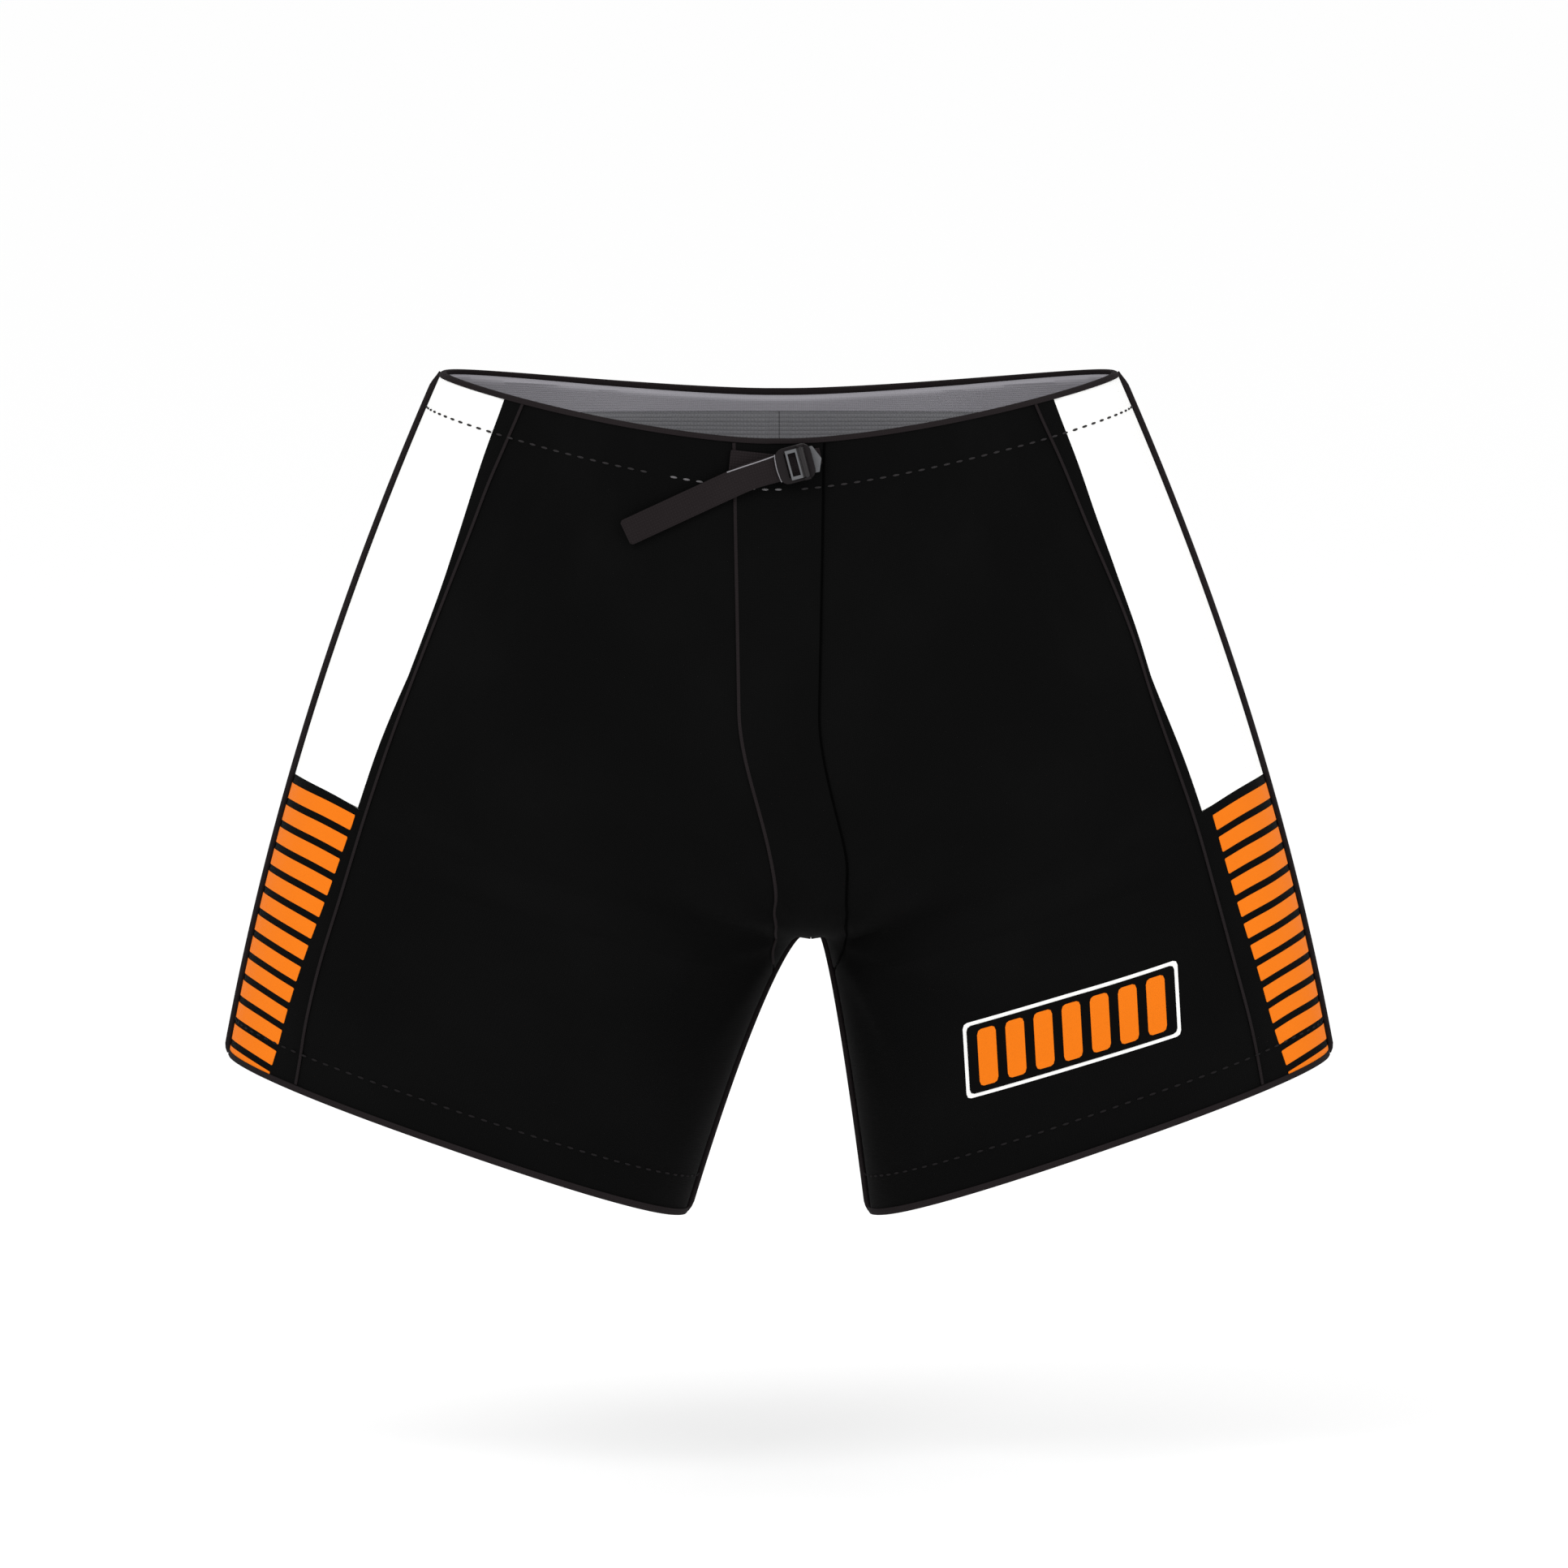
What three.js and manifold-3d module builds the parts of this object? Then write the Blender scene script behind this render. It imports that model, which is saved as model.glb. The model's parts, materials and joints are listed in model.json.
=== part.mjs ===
// Hockey pants: padded shell, waist hardware and linings. Millimetres, +Z up, front faces -Y.
// The wearer's left is +X. The origin is the middle of the waist opening.
import * as THREE from 'three';
import { mergeVertices } from 'three/addons/utils/BufferGeometryUtils.js';
import Module from 'manifold-3d';

const wasm = await Module();
wasm.setup();
const { Manifold, Mesh } = wasm;

// Overall shape
const WAIST_HALF = 227.8;      // half width at the waist edge
const FLARE = 205;             // widening down the outer side
const FLARE_EASE = 59.7;       // easing of that widening
const OUTSEAM = 463.4;         // height of the outer side
const SIDE_TOP = 30;           // waist edge height at the sides
const FRONT_TOP = -8.5;          // waist edge height at the front centre
const BACK_TOP = 11.6;         // waist edge height at the back centre
const CROTCH_Z = -352;
const HEM_INNER_Z = -541.5;
const CROTCH_T = 0.62;         // share of the outer side at which the legs part
const CROTCH_SHIFT = 21.5;     // sideways lie of the crotch
const BRIDGE = 9;            // half width of the strip that joins the legs
const INSEAM_RUN = { left: 31.3, right: 75.8 };
const INSEAM_BEND = { left: 0.76, right: 0.75 };
const WAIST_DEPTH = 125;       // half depth at the waist
const DEPTH_GAIN = 60;
const DEPTH_EASE = 80;
const SEAT_DEPTH = 14;         // extra depth at the seat
const ROUND = 2.3;             // squareness of the cross sections

// Panel lines
const SEAM_SHARE = 0.748;      // front side seam, as a share of the half width
const SEAM_SPREAD = 0.221;
const SEAM_EASE = 0.095;
const FLY_HALF = 30;
const FLY_TAPER = 6.3;
const GUSSET_T = 0.666;        // where the fly panel runs out on the inner leg
const GUSSET_RUN = 0.92;       // share of that run the fly panel itself covers
const SPLIT_Z = -243;          // join of the upper and lower side panels, at the outer side
const SPLIT_SLOPE = 0.566;     // how steeply that join falls away from the outer side
const SPLIT_LIFT = 0.0875;     // how much it rises with distance from the outer edge's plane

// Layers, measured inward from the outside of the shell
const SHELL = 2.0;
const PIPING_DROP = 0.8;       // start of the inner-leg piping below the crotch
const GAP = 0.35;              // half of every sewn-seam gap
const EDGE_T = 0.012;          // height share taken by each edge binding
const EDGE_GAP_T = 0.001;
const BELT = { from: 3.2, to: 4.8 };
const FACING = { from: 6.3, to: 7.8 };
const CAP = { from: 4.2, to: 6.2 };
const FOAM = { from: 7.5, to: 16.0 };
const LINER_DEEP = 17.5;
const LINER_HEM = 5.0;
const LINER = 1.5;
const SPINE_HALF = 40;
const TAILBONE_HALF = 45;
const FACING_T = 0.08;
const FACING_BACK_Z = -7.3;

// Waist hardware, in its own frame: along the strap, across it, outward
const STRAP_ANGLE = 15;        // turn of the buckle and of the strap inside it
const STRAP_BEND = { angle: 10, from: 20, run: 24 };   // further turn of the loose end
const BUCKLE_AT = { x: 11, z: -24.2, stand: 5.34 };   // stand: from the shell to the strap line
const TAIL_STAND = 0.44;       // from the shell to the strap line at the loose end
const BODY = { u: 12, v: 12, n: 6, corner: 5.5 };
const STRAP_WIDE = 18;
const STRAP_THICK = 1.6;
const STRAP_OUT = 123;         // reach of the loose end from the buckle
const STRAP_IN = 6;            // reach past the buckle's middle
const FIT = 0.4;               // clearance round the strap
const LEAD = { x: -12, z: -25.5, wide: 42, tall: 16, turn: -6, slant: 0 };
const TAB = { x: 21.5, z: -20.5, wide: 13, tall: 11, turn: 12, slant: 0 };
const EMBLEM = { x: 196, z: -405, wide: 150, tall: 50, turn: 17, slant: 12 };
const PIN_R = 0.85;
const PIN_FIT = 0.08;
const PIN_U = 6.2;
const PIN_N = 8.4;

const LOOKS = {
  cloth: { color: 0x0e0e0e, roughness: 0.9, metalness: 0 },
  white: { color: 0xf4f4f2, roughness: 0.85, metalness: 0 },
  trim: { color: 0x231f20, roughness: 0.8, metalness: 0 },
  facing: { color: 0x7a787d, roughness: 0.9, metalness: 0 },
  liner: { color: 0x59595b, roughness: 0.9, metalness: 0 },
  foam: { color: 0x3c4148, roughness: 1, metalness: 0 },
  cap: { color: 0xd8d8d4, roughness: 0.5, metalness: 0 },
  plastic: { color: 0x1d1b1c, roughness: 0.45, metalness: 0 },
  metal: { color: 0x8e9196, roughness: 0.35, metalness: 1 },
  emblem: { color: 0xf6841f, roughness: 0.7, metalness: 0 },
};

const group = new THREE.Group();
group.name = 'hockey_pants';

function add(name, geometry, look) {
  const mesh = new THREE.Mesh(geometry, new THREE.MeshStandardMaterial(LOOKS[look]));
  mesh.name = name;
  group.add(mesh);
}

// ---- Surface of the garment -------------------------------------------------------------

const lerp = (a, b, k) => a + (b - a) * k;
const clamp = (v, a, b) => Math.min(b, Math.max(a, v));
const signedPower = (v, p) => Math.sign(v) * Math.abs(v) ** p;

function smooth(k) {
  const c = clamp(k, 0, 1);
  return c * c * (3 - 2 * c);
}

const sideName = (side) => (side > 0 ? 'left' : 'right');
const outerX = (side, t) => side * (WAIST_HALF + FLARE * t - FLARE_EASE * t * t);
const legShare = (t) => clamp((t - CROTCH_T) / (1 - CROTCH_T), 0, 1);

function innerX(side, t) {
  const drift = CROTCH_SHIFT * smooth((t - 0.33) / 0.23);
  const name = sideName(side);
  return drift + side * (BRIDGE + INSEAM_RUN[name] * legShare(t) ** INSEAM_BEND[name]);
}

function depth(t, back) {
  const base = WAIST_DEPTH + DEPTH_GAIN * t - DEPTH_EASE * t * t;
  return back ? base + SEAT_DEPTH * Math.sin(Math.PI * clamp(t / 0.8, 0, 1)) : base;
}

function section(side, t) {
  const fold = t < CROTCH_T ? -((t / CROTCH_T) ** 5) : -1;
  const outer = outerX(side, t);
  const half = Math.abs(outer - innerX(side, t)) / (1 - fold);
  return { middle: outer - side * half, half };
}

function ringZ(side, t, x, back) {
  const inner = innerX(side, t);
  const share = clamp((x - inner) / (outerX(side, t) - inner), 0, 1);
  const above = Math.min(t / CROTCH_T, 1);
  let low = lerp(FRONT_TOP, CROTCH_Z, above) + (HEM_INNER_Z - CROTCH_Z) * legShare(t);
  if (back) low += (BACK_TOP - FRONT_TOP) * (1 - above) ** 2;
  const bend = lerp(1.5, 1, Math.min(1, t / 0.5));
  return { z: lerp(low, SIDE_TOP - OUTSEAM * t, share ** bend), share };
}

// Angle on the cross section whose outside lies at x: 0 at the outer side, pi at the inner.
function angleAt(side, t, x) {
  const { middle, half } = section(side, t);
  const c = clamp(side * (x - middle) / half, -1, 1);
  return Math.acos(signedPower(c, ROUND / 2));
}

// Point at an angle (front positive, back negative), a height share and an inward offset.
function surface(side, angle, t, offset) {
  const { middle, half } = section(side, t);
  const back = angle < 0;
  const across = side * signedPower(Math.cos(angle), 2 / ROUND);
  const out = signedPower(Math.sin(Math.abs(angle)), 2 / ROUND);
  const { z, share } = ringZ(side, t, middle + half * across, back);
  const lift = Math.exp(-(((t - CROTCH_T) / 0.08) ** 2)) * (1 - share) ** 2;
  const y = Math.max((depth(t, back) - offset) * out, GAP + 0.05);
  return [middle + (half - offset) * across, back ? y : -y, z + offset * lift];
}

function heightShareAt(side, x, z, back) {
  let low = 0;
  let high = 1;
  for (let i = 0; i < 40; i += 1) {
    const mid = (low + high) / 2;
    if (ringZ(side, mid, x, back).z > z) low = mid;
    else high = mid;
  }
  return low;
}

// ---- Closed sheets ----------------------------------------------------------------------

// A closed body from a grid of [outside, inside] points; keep(i, j) says which cells exist.
function sheetBody(points, keep = () => true, closed = false) {
  const rows = points.length - 1;
  const cols = points[0].length;
  const spans = closed ? cols : cols - 1;
  const position = [];
  const index = [];
  for (const row of points) {
    for (const [outside, inside] of row) position.push(...outside, ...inside);
  }
  const at = (i, j, layer) => 2 * (i * cols + (j % cols)) + layer;
  const quad = (a, b, c, d) => index.push(a, b, c, a, c, d);
  const has = (i, j) => {
    if (i < 0 || i >= rows) return false;
    if (!closed && (j < 0 || j >= spans)) return false;
    return keep(i, (j + spans) % spans);
  };
  for (let i = 0; i < rows; i += 1) {
    for (let j = 0; j < spans; j += 1) {
      if (!has(i, j)) continue;
      quad(at(i, j, 0), at(i + 1, j, 0), at(i + 1, j + 1, 0), at(i, j + 1, 0));
      quad(at(i, j, 1), at(i, j + 1, 1), at(i + 1, j + 1, 1), at(i + 1, j, 1));
      if (!has(i - 1, j)) quad(at(i, j, 1), at(i, j, 0), at(i, j + 1, 0), at(i, j + 1, 1));
      if (!has(i + 1, j)) {
        quad(at(i + 1, j, 0), at(i + 1, j, 1), at(i + 1, j + 1, 1), at(i + 1, j + 1, 0));
      }
      if (!has(i, j - 1)) quad(at(i, j, 0), at(i, j, 1), at(i + 1, j, 1), at(i + 1, j, 0));
      if (!has(i, j + 1)) {
        quad(at(i, j + 1, 1), at(i, j + 1, 0), at(i + 1, j + 1, 0), at(i + 1, j + 1, 1));
      }
    }
  }
  const geometry = new THREE.BufferGeometry();
  geometry.setAttribute('position', new THREE.Float32BufferAttribute(position, 3));
  geometry.setIndex(index);
  return facingOut(geometry);
}

function facingOut(geometry) {
  const p = geometry.attributes.position;
  const order = geometry.index.array;
  const [a, b, c] = [new THREE.Vector3(), new THREE.Vector3(), new THREE.Vector3()];
  let volume = 0;
  for (let i = 0; i < order.length; i += 3) {
    a.fromBufferAttribute(p, order[i]);
    b.fromBufferAttribute(p, order[i + 1]);
    c.fromBufferAttribute(p, order[i + 2]);
    volume += a.dot(b.cross(c));
  }
  if (volume < 0) {
    for (let i = 0; i < order.length; i += 3) {
      [order[i], order[i + 1]] = [order[i + 1], order[i]];
    }
  }
  return geometry;
}

// A column is a side and the angle it takes at each height share.
function columns(side, from, to, count) {
  const list = [];
  for (let j = 0; j <= count; j += 1) {
    list.push({ side, angle: (t) => lerp(from(t), to(t), j / count) });
  }
  return list;
}

// Height shares, closer together towards the crotch.
function steps(from, to, count, ease = 1) {
  const list = [];
  for (let i = 0; i <= count; i += 1) {
    list.push(lerp(to, from, (1 - i / count) ** ease));
  }
  return list;
}

function garmentSheet({ cols, rows, from, to, keep, closed }) {
  const depthOf = (value, t) => (typeof value === 'function' ? value(t) : value);
  const count = (Array.isArray(rows) ? rows : rows(0)).length;
  const points = [];
  for (let i = 0; i < count; i += 1) {
    const row = [];
    cols.forEach((column, j) => {
      const t = Array.isArray(rows) ? rows[i] : rows(j / (cols.length - 1))[i];
      const angle = column.angle(t);
      row.push([
        surface(column.side, angle, t, depthOf(from, t)),
        surface(column.side, angle, t, depthOf(to, t)),
      ]);
    });
    points.push(row);
  }
  return sheetBody(points, keep, closed);
}

// ---- Panel edges ------------------------------------------------------------------------

const seamX = (side, t) => outerX(side, t) * (SEAM_SHARE + SEAM_SPREAD * t - SEAM_EASE * t * t);
const innerAngle = (side) => (t) => angleAt(side, t, innerX(side, t));

function flyX(side, t) {
  const half = FLY_HALF - FLY_TAPER * Math.min(1, t / CROTCH_T) - BRIDGE;
  const left = clamp((GUSSET_T - t) / (GUSSET_T - CROTCH_T), 0, 1);
  return innerX(side, t) + side * half * left;
}

const seamAngle = (side, gap) => (t) => angleAt(side, t, seamX(side, t) + side * gap);
const flyAngle = (side, gap) => (t) => angleAt(side, t, flyX(side, t) + side * gap);
const negative = (angle) => (t) => -angle(t);
const fixed = (degrees) => () => degrees * Math.PI / 180;
const fromInner = (side, inset) => (t) => angleAt(side, t, innerX(side, t) + side * inset);

// Height share at which a side-panel column meets the slanted join.
function splitShare(p) {
  let low = 0.4;
  let high = 0.8;
  for (let i = 0; i < 40; i += 1) {
    const t = (low + high) / 2;
    const [x, y, z] = surface(1, seamAngle(1, GAP)(t) * (1 - 2 * p), t, 0);
    const line = SPLIT_Z - SPLIT_SLOPE * (outerX(1, t) - x) + SPLIT_LIFT * Math.abs(y);
    if (z > line) low = t;
    else high = t;
  }
  return low;
}

const bodyRows = steps(EDGE_T, CROTCH_T, 9, 1.7);
const gussetRows = [0.5, GUSSET_RUN, 1].map((k) => lerp(CROTCH_T, GUSSET_T, k));
const legRows = steps(GUSSET_T, 1 - EDGE_T, 5).slice(1);
const panelRows = [...bodyRows, ...gussetRows, ...legRows];
const crotchRow = bodyRows.length - 1;

const rowsBetween = (from, to) => [
  from,
  ...panelRows.filter((t) => t > from + 0.012 && t < to - 0.012),
  to,
];

// ---- Shell panels -----------------------------------------------------------------------

for (const side of [1, -1]) {
  const name = sideName(side);
  add(`front_panel_${name}`, garmentSheet({
    cols: columns(side, flyAngle(side, GAP), seamAngle(side, -GAP), 14),
    rows: panelRows,
    from: 0,
    to: SHELL,
  }), 'cloth');

  const sideCols = columns(side, seamAngle(side, GAP), negative(seamAngle(side, GAP)), 12);
  add(`side_upper_${name}`, garmentSheet({
    cols: sideCols,
    rows: (p) => steps(EDGE_T, splitShare(p) - EDGE_GAP_T / 2, 6),
    from: 0,
    to: SHELL,
  }), 'white');
  add(`side_lower_${name}`, garmentSheet({
    cols: sideCols,
    rows: (p) => steps(splitShare(p) + EDGE_GAP_T / 2, 1 - EDGE_T, 5),
    from: 0,
    to: SHELL,
  }), 'cloth');

  const centre = { side, angle: innerAngle(side) };
  const backCols = columns(side, negative(innerAngle(side)), negative(seamAngle(side, -GAP)), 14);
  const back = [];
  panelRows.forEach((t) => {
    const row = backCols.map((column) => [
      surface(side, column.angle(t), t, 0),
      surface(side, column.angle(t), t, SHELL),
    ]);
    const middle = innerX(side, t) - side * (BRIDGE - GAP);
    const edge = [0, SHELL].map((offset) => {
      const point = surface(side, -centre.angle(t), t, offset);
      return [middle, point[1], point[2]];
    });
    back.push([edge, ...row]);
  });
  add(`back_panel_${name}`, sheetBody(back, (i, j) => j > 0 || i < crotchRow), 'cloth');
}

const flyRows = [...bodyRows, ...gussetRows.slice(0, 2)];
const FLY_COLS = 4;
add('fly_panel', garmentSheet({
  cols: [
    ...columns(-1, flyAngle(-1, -GAP), innerAngle(-1), FLY_COLS),
    ...columns(1, innerAngle(1), flyAngle(1, -GAP), FLY_COLS),
  ],
  rows: flyRows,
  from: 0,
  to: SHELL,
  keep: (i, j) => j !== FLY_COLS || i < crotchRow,
}), 'cloth');

// ---- Bindings, piping, facings and belt -------------------------------------------------

function wholeRing(count) {
  return [1, -1].flatMap((side) => {
    const front = innerAngle(side);
    const turn = columns(side, front, negative(front), count);
    return side > 0 ? turn : turn.reverse();
  });
}

add('waist_binding', garmentSheet({
  cols: wholeRing(26),
  rows: [0, EDGE_T - EDGE_GAP_T],
  from: -0.8,
  to: 2.9,
  closed: true,
}), 'trim');

add('belt_webbing', garmentSheet({
  cols: wholeRing(26),
  rows: [0.016, 0.06],
  from: BELT.from,
  to: BELT.to,
  closed: true,
}), 'trim');

function halfRing(direction, count) {
  const outer = () => direction * 0.006;
  const inner = (side) => (t) => direction * innerAngle(side)(t);
  return [...columns(-1, outer, inner(-1), count), ...columns(1, inner(1), outer, count)];
}

function facingEnd(p) {
  const x = Math.min(0.98, Math.abs(2 * p - 1)) * outerX(1, 0.04);
  return Math.min(FACING_T, heightShareAt(1, x, FACING_BACK_Z, true));
}

add('facing_front', garmentSheet({
  cols: halfRing(1, 12),
  rows: [EDGE_T + EDGE_GAP_T, FACING_T],
  ...FACING,
}), 'facing');
add('facing_back', garmentSheet({
  cols: halfRing(-1, 12),
  rows: (p) => [EDGE_T + EDGE_GAP_T, facingEnd(p)],
  ...FACING,
}), 'facing');

for (const side of [1, -1]) {
  const name = sideName(side);
  const around = columns(side, () => Math.PI, () => -Math.PI, 28).slice(0, -1);
  add(`hem_binding_${name}`, garmentSheet({
    cols: around,
    rows: [1 - EDGE_T + EDGE_GAP_T, 1],
    from: -0.8,
    to: 2.9,
    closed: true,
  }), 'trim');

  const pipingPoints = (rows, tall, wide, flip) => rows.map((t, i) => {
    const [x, , height] = surface(side, flip ? Math.PI : 0, t, 0);
    const z = flip && i === 0 ? height - PIPING_DROP : height;
    const out = flip ? -side : side;
    return [-1, 1].map((hand) => [
      [x + out * tall, hand * out * wide, z],
      [x + out * 0.4, hand * out * wide, z],
    ]);
  });
  const outRows = steps(EDGE_T + 0.004, 1 - EDGE_T - 0.004, 12);
  add(`outseam_piping_${name}`, sheetBody(pipingPoints(outRows, 3.8, 2.4, false)), 'trim');
  const inRows = [CROTCH_T, ...gussetRows, ...legRows.slice(0, -1), 1 - EDGE_T - 0.004];
  add(`inseam_piping_${name}`, sheetBody(pipingPoints(inRows, 2.6, 1.8, true)), 'trim');

  // Lining of one leg and its half of the seat
  const linerFrom = (t) => {
    const top = lerp(FACING.from, LINER_DEEP, smooth((t - 0.085) / 0.085));
    return lerp(top, LINER_HEM, smooth((t - 0.89) / 0.08));
  };
  const inner = innerAngle(side);
  const backEnd = facingEnd(0.5);
  const linerTop = (p) => lerp(FACING_T, backEnd, smooth((p - 0.5) * 2)) + EDGE_GAP_T;
  add(`liner_${name}`, garmentSheet({
    cols: columns(side, inner, negative(inner), 26),
    rows: (p) => [
      ...steps(linerTop(p), 0.18, 3),
      ...rowsBetween(0.18, 0.9).slice(1),
      ...steps(0.9, 1 - EDGE_T, 3).slice(1),
    ],
    from: linerFrom,
    to: (t) => linerFrom(t) + LINER,
  }), 'liner');

  // Guards and pads
  const pad = (label, look, layer, [a, b], [t0, t1], cols) => {
    add(`${label}_${name}`, garmentSheet({
      cols: columns(side, a, b, cols),
      rows: rowsBetween(t0, t1),
      ...layer,
    }), look);
  };
  pad('hip_cap', 'cap', CAP, [fixed(38), fixed(-38)], [0.22, 0.40], 10);
  pad('hip_pad', 'foam', FOAM, [fixed(46), fixed(-46)], [0.175, 0.44], 12);
  pad('thigh_cap', 'cap', CAP, [fromInner(side, 60), fixed(-22)], [0.52, 0.84], 12);
  pad('thigh_pad', 'foam', FOAM, [fromInner(side, 45), fixed(-34)], [0.46, 0.88], 14);
  const besideSpine = negative(fromInner(side, SPINE_HALF + 2));
  pad('kidney_pad', 'foam', FOAM, [besideSpine, fixed(-50)], [0.175, 0.34], 5);
}

function centrePad(label, half, t0, t1) {
  const edge = (side) => negative(fromInner(side, half));
  const inner = (side) => negative(innerAngle(side));
  add(label, garmentSheet({
    cols: [...columns(-1, edge(-1), inner(-1), 2), ...columns(1, inner(1), edge(1), 2)],
    rows: rowsBetween(t0, t1),
    ...FOAM,
  }), 'foam');
}
centrePad('spine_pad', SPINE_HALF, 0.175, 0.34);
centrePad('tailbone_pad', TAILBONE_HALF, 0.355, 0.50);

// ---- Strips laid on the front ------------------------------------------------------------

// A slanted strip laid on the front of the shell.
function frontPatch(name, look, { x, z, wide, tall, turn, slant }, [out, under], cols, rows) {
  const angle = THREE.MathUtils.degToRad(turn);
  const points = [];
  for (let i = 0; i <= rows; i += 1) {
    const row = [];
    for (let j = 0; j <= cols; j += 1) {
      const b = (0.5 - i / rows) * tall;
      const a = (j / cols - 0.5) * wide + b * slant / tall;
      const px = x + a * Math.cos(angle) - b * Math.sin(angle);
      const pz = z + a * Math.sin(angle) + b * Math.cos(angle);
      row.push([out, under].map((offset) => frontPoint(px, pz, offset)));
    }
    points.push(row);
  }
  add(name, sheetBody(points), look);
}

function frontPoint(x, z, offset) {
  const side = x < 0 ? -1 : 1;
  const t = heightShareAt(side, x, z, false);
  const reach = side * Math.max(side * x, side * innerX(side, t));
  return [x, surface(side, angleAt(side, t, reach), t, offset)[1], z];
}

frontPatch('emblem_patch', 'emblem', EMBLEM, [-1.6, -0.6], 10, 4);
frontPatch('belt_lead', 'trim', LEAD, [-1.9, -0.6], 4, 1);
frontPatch('anchor_tab', 'trim', TAB, [-1.9, -0.6], 2, 1);

// ---- Waist hardware ---------------------------------------------------------------------

// The middle line of the strap, by its distance from the buckle's middle.
function strapLine(distance) {
  const point = { u: Math.max(0, -distance), v: 0, turn: 0 };
  const step = 0.5;
  for (let run = 0; run < distance; run += step) {
    const share = clamp((run - STRAP_BEND.from) / STRAP_BEND.run, 0, 1);
    point.turn = THREE.MathUtils.degToRad(STRAP_BEND.angle) * smooth(share);
    const length = Math.min(step, distance - run);
    point.u -= length * Math.cos(point.turn);
    point.v -= length * Math.sin(point.turn);
  }
  return point;
}

const tailEnd = strapLine(STRAP_OUT);
const turn = THREE.MathUtils.degToRad(STRAP_ANGLE);
const buckleY = frontPoint(BUCKLE_AT.x, BUCKLE_AT.z, 0)[1] - BUCKLE_AT.stand;
let lean = 0;
for (let pass = 0; pass < 6; pass += 1) {
  const reach = -tailEnd.u * Math.cos(lean);
  const endX = BUCKLE_AT.x - reach * Math.cos(turn) - tailEnd.v * Math.sin(turn);
  const endZ = BUCKLE_AT.z - reach * Math.sin(turn) + tailEnd.v * Math.cos(turn);
  lean = Math.asin((frontPoint(endX, endZ, 0)[1] - TAIL_STAND - buckleY) / -tailEnd.u);
}
const along = new THREE.Vector3(
  Math.cos(turn) * Math.cos(lean),
  -Math.sin(lean),
  Math.sin(turn) * Math.cos(lean),
);
const across = new THREE.Vector3(-Math.sin(turn), 0, Math.cos(turn));
const outward = new THREE.Vector3().crossVectors(along, across);
const hardware = new THREE.Matrix4()
  .makeBasis(along, across, outward)
  .setPosition(BUCKLE_AT.x, buckleY, BUCKLE_AT.z);

function solid(geometry) {
  const bare = new THREE.BufferGeometry();
  bare.setAttribute('position', geometry.attributes.position.clone());
  if (geometry.index) bare.setIndex(geometry.index.clone());
  const merged = mergeVertices(bare, 1e-4);
  return new Manifold(new Mesh({
    numProp: 3,
    vertProperties: new Float32Array(merged.attributes.position.array),
    triVerts: new Uint32Array(merged.index.array),
  }));
}

function block([u0, u1], [v0, v1], [n0, n1]) {
  const box = new THREE.BoxGeometry(u1 - u0, v1 - v0, n1 - n0);
  return solid(box.translate((u0 + u1) / 2, (v0 + v1) / 2, (n0 + n1) / 2));
}

function bar(radius, half, u, n) {
  return solid(new THREE.CylinderGeometry(radius, radius, 2 * half, 20).translate(u, 0, n));
}

function plate(outline, [n0, n1]) {
  const shape = new THREE.Shape(outline.map(([u, v]) => new THREE.Vector2(u, v)));
  const cut = new THREE.ExtrudeGeometry(shape, { depth: n1 - n0, bevelEnabled: false });
  return solid(cut.translate(0, 0, n0));
}

function roundedOutline(u0, u1, v0, v1, radius, count = 4) {
  const corners = [[u1, v1, 0], [u0, v1, 1], [u0, v0, 2], [u1, v0, 3]];
  return corners.flatMap(([u, v, quarter]) => {
    const cu = u + (u === u1 ? -radius : radius);
    const cv = v + (v === v1 ? -radius : radius);
    return Array.from({ length: count + 1 }, (_, i) => {
      const a = (quarter + i / count) * Math.PI / 2;
      return [cu + radius * Math.cos(a), cv + radius * Math.sin(a)];
    });
  });
}

function placed(body) {
  const { vertProperties, numProp, triVerts } = body.getMesh();
  const position = [];
  for (let i = 0; i < vertProperties.length; i += numProp) {
    position.push(vertProperties[i], vertProperties[i + 1], vertProperties[i + 2]);
  }
  const geometry = new THREE.BufferGeometry();
  geometry.setAttribute('position', new THREE.Float32BufferAttribute(position, 3));
  geometry.setIndex([...triVerts]);
  return geometry.applyMatrix4(hardware);
}

const strapHalf = STRAP_WIDE / 2;
const strapBase = 2.0;
const strapTop = strapBase + STRAP_THICK;
const pocket = [strapBase - FIT, strapTop + FIT];
const earIn = BODY.v - 1.6;
const leverHalf = earIn - 0.4;

const bodyOutline = roundedOutline(-BODY.u, BODY.u, -BODY.v, BODY.v, BODY.corner);
const bodyBlock = plate(bodyOutline, [0, BODY.n]);
const strapPocket = block([-BODY.u - 5, STRAP_IN + 2], [-strapHalf - FIT, strapHalf + FIT], pocket);
const window = block([-6, 4], [-strapHalf + 0.8, strapHalf - 0.8], [strapTop, BODY.n + 1]);
let body = bodyBlock.subtract(strapPocket).subtract(window);
for (const hand of [-1, 1]) {
  const v0 = hand > 0 ? earIn : -BODY.v;
  const ear = block([PIN_U - 2, PIN_U + 2], [v0, v0 + 1.6], [BODY.n - 1, PIN_N + 1.6]);
  body = body.add(ear);
}
body = body.subtract(bar(PIN_R + PIN_FIT, BODY.v + 2, PIN_U, PIN_N));
add('buckle_body', placed(body), 'plastic');
add('lever_pin', placed(bar(PIN_R, BODY.v - 0.2, PIN_U, PIN_N)), 'metal');

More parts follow.
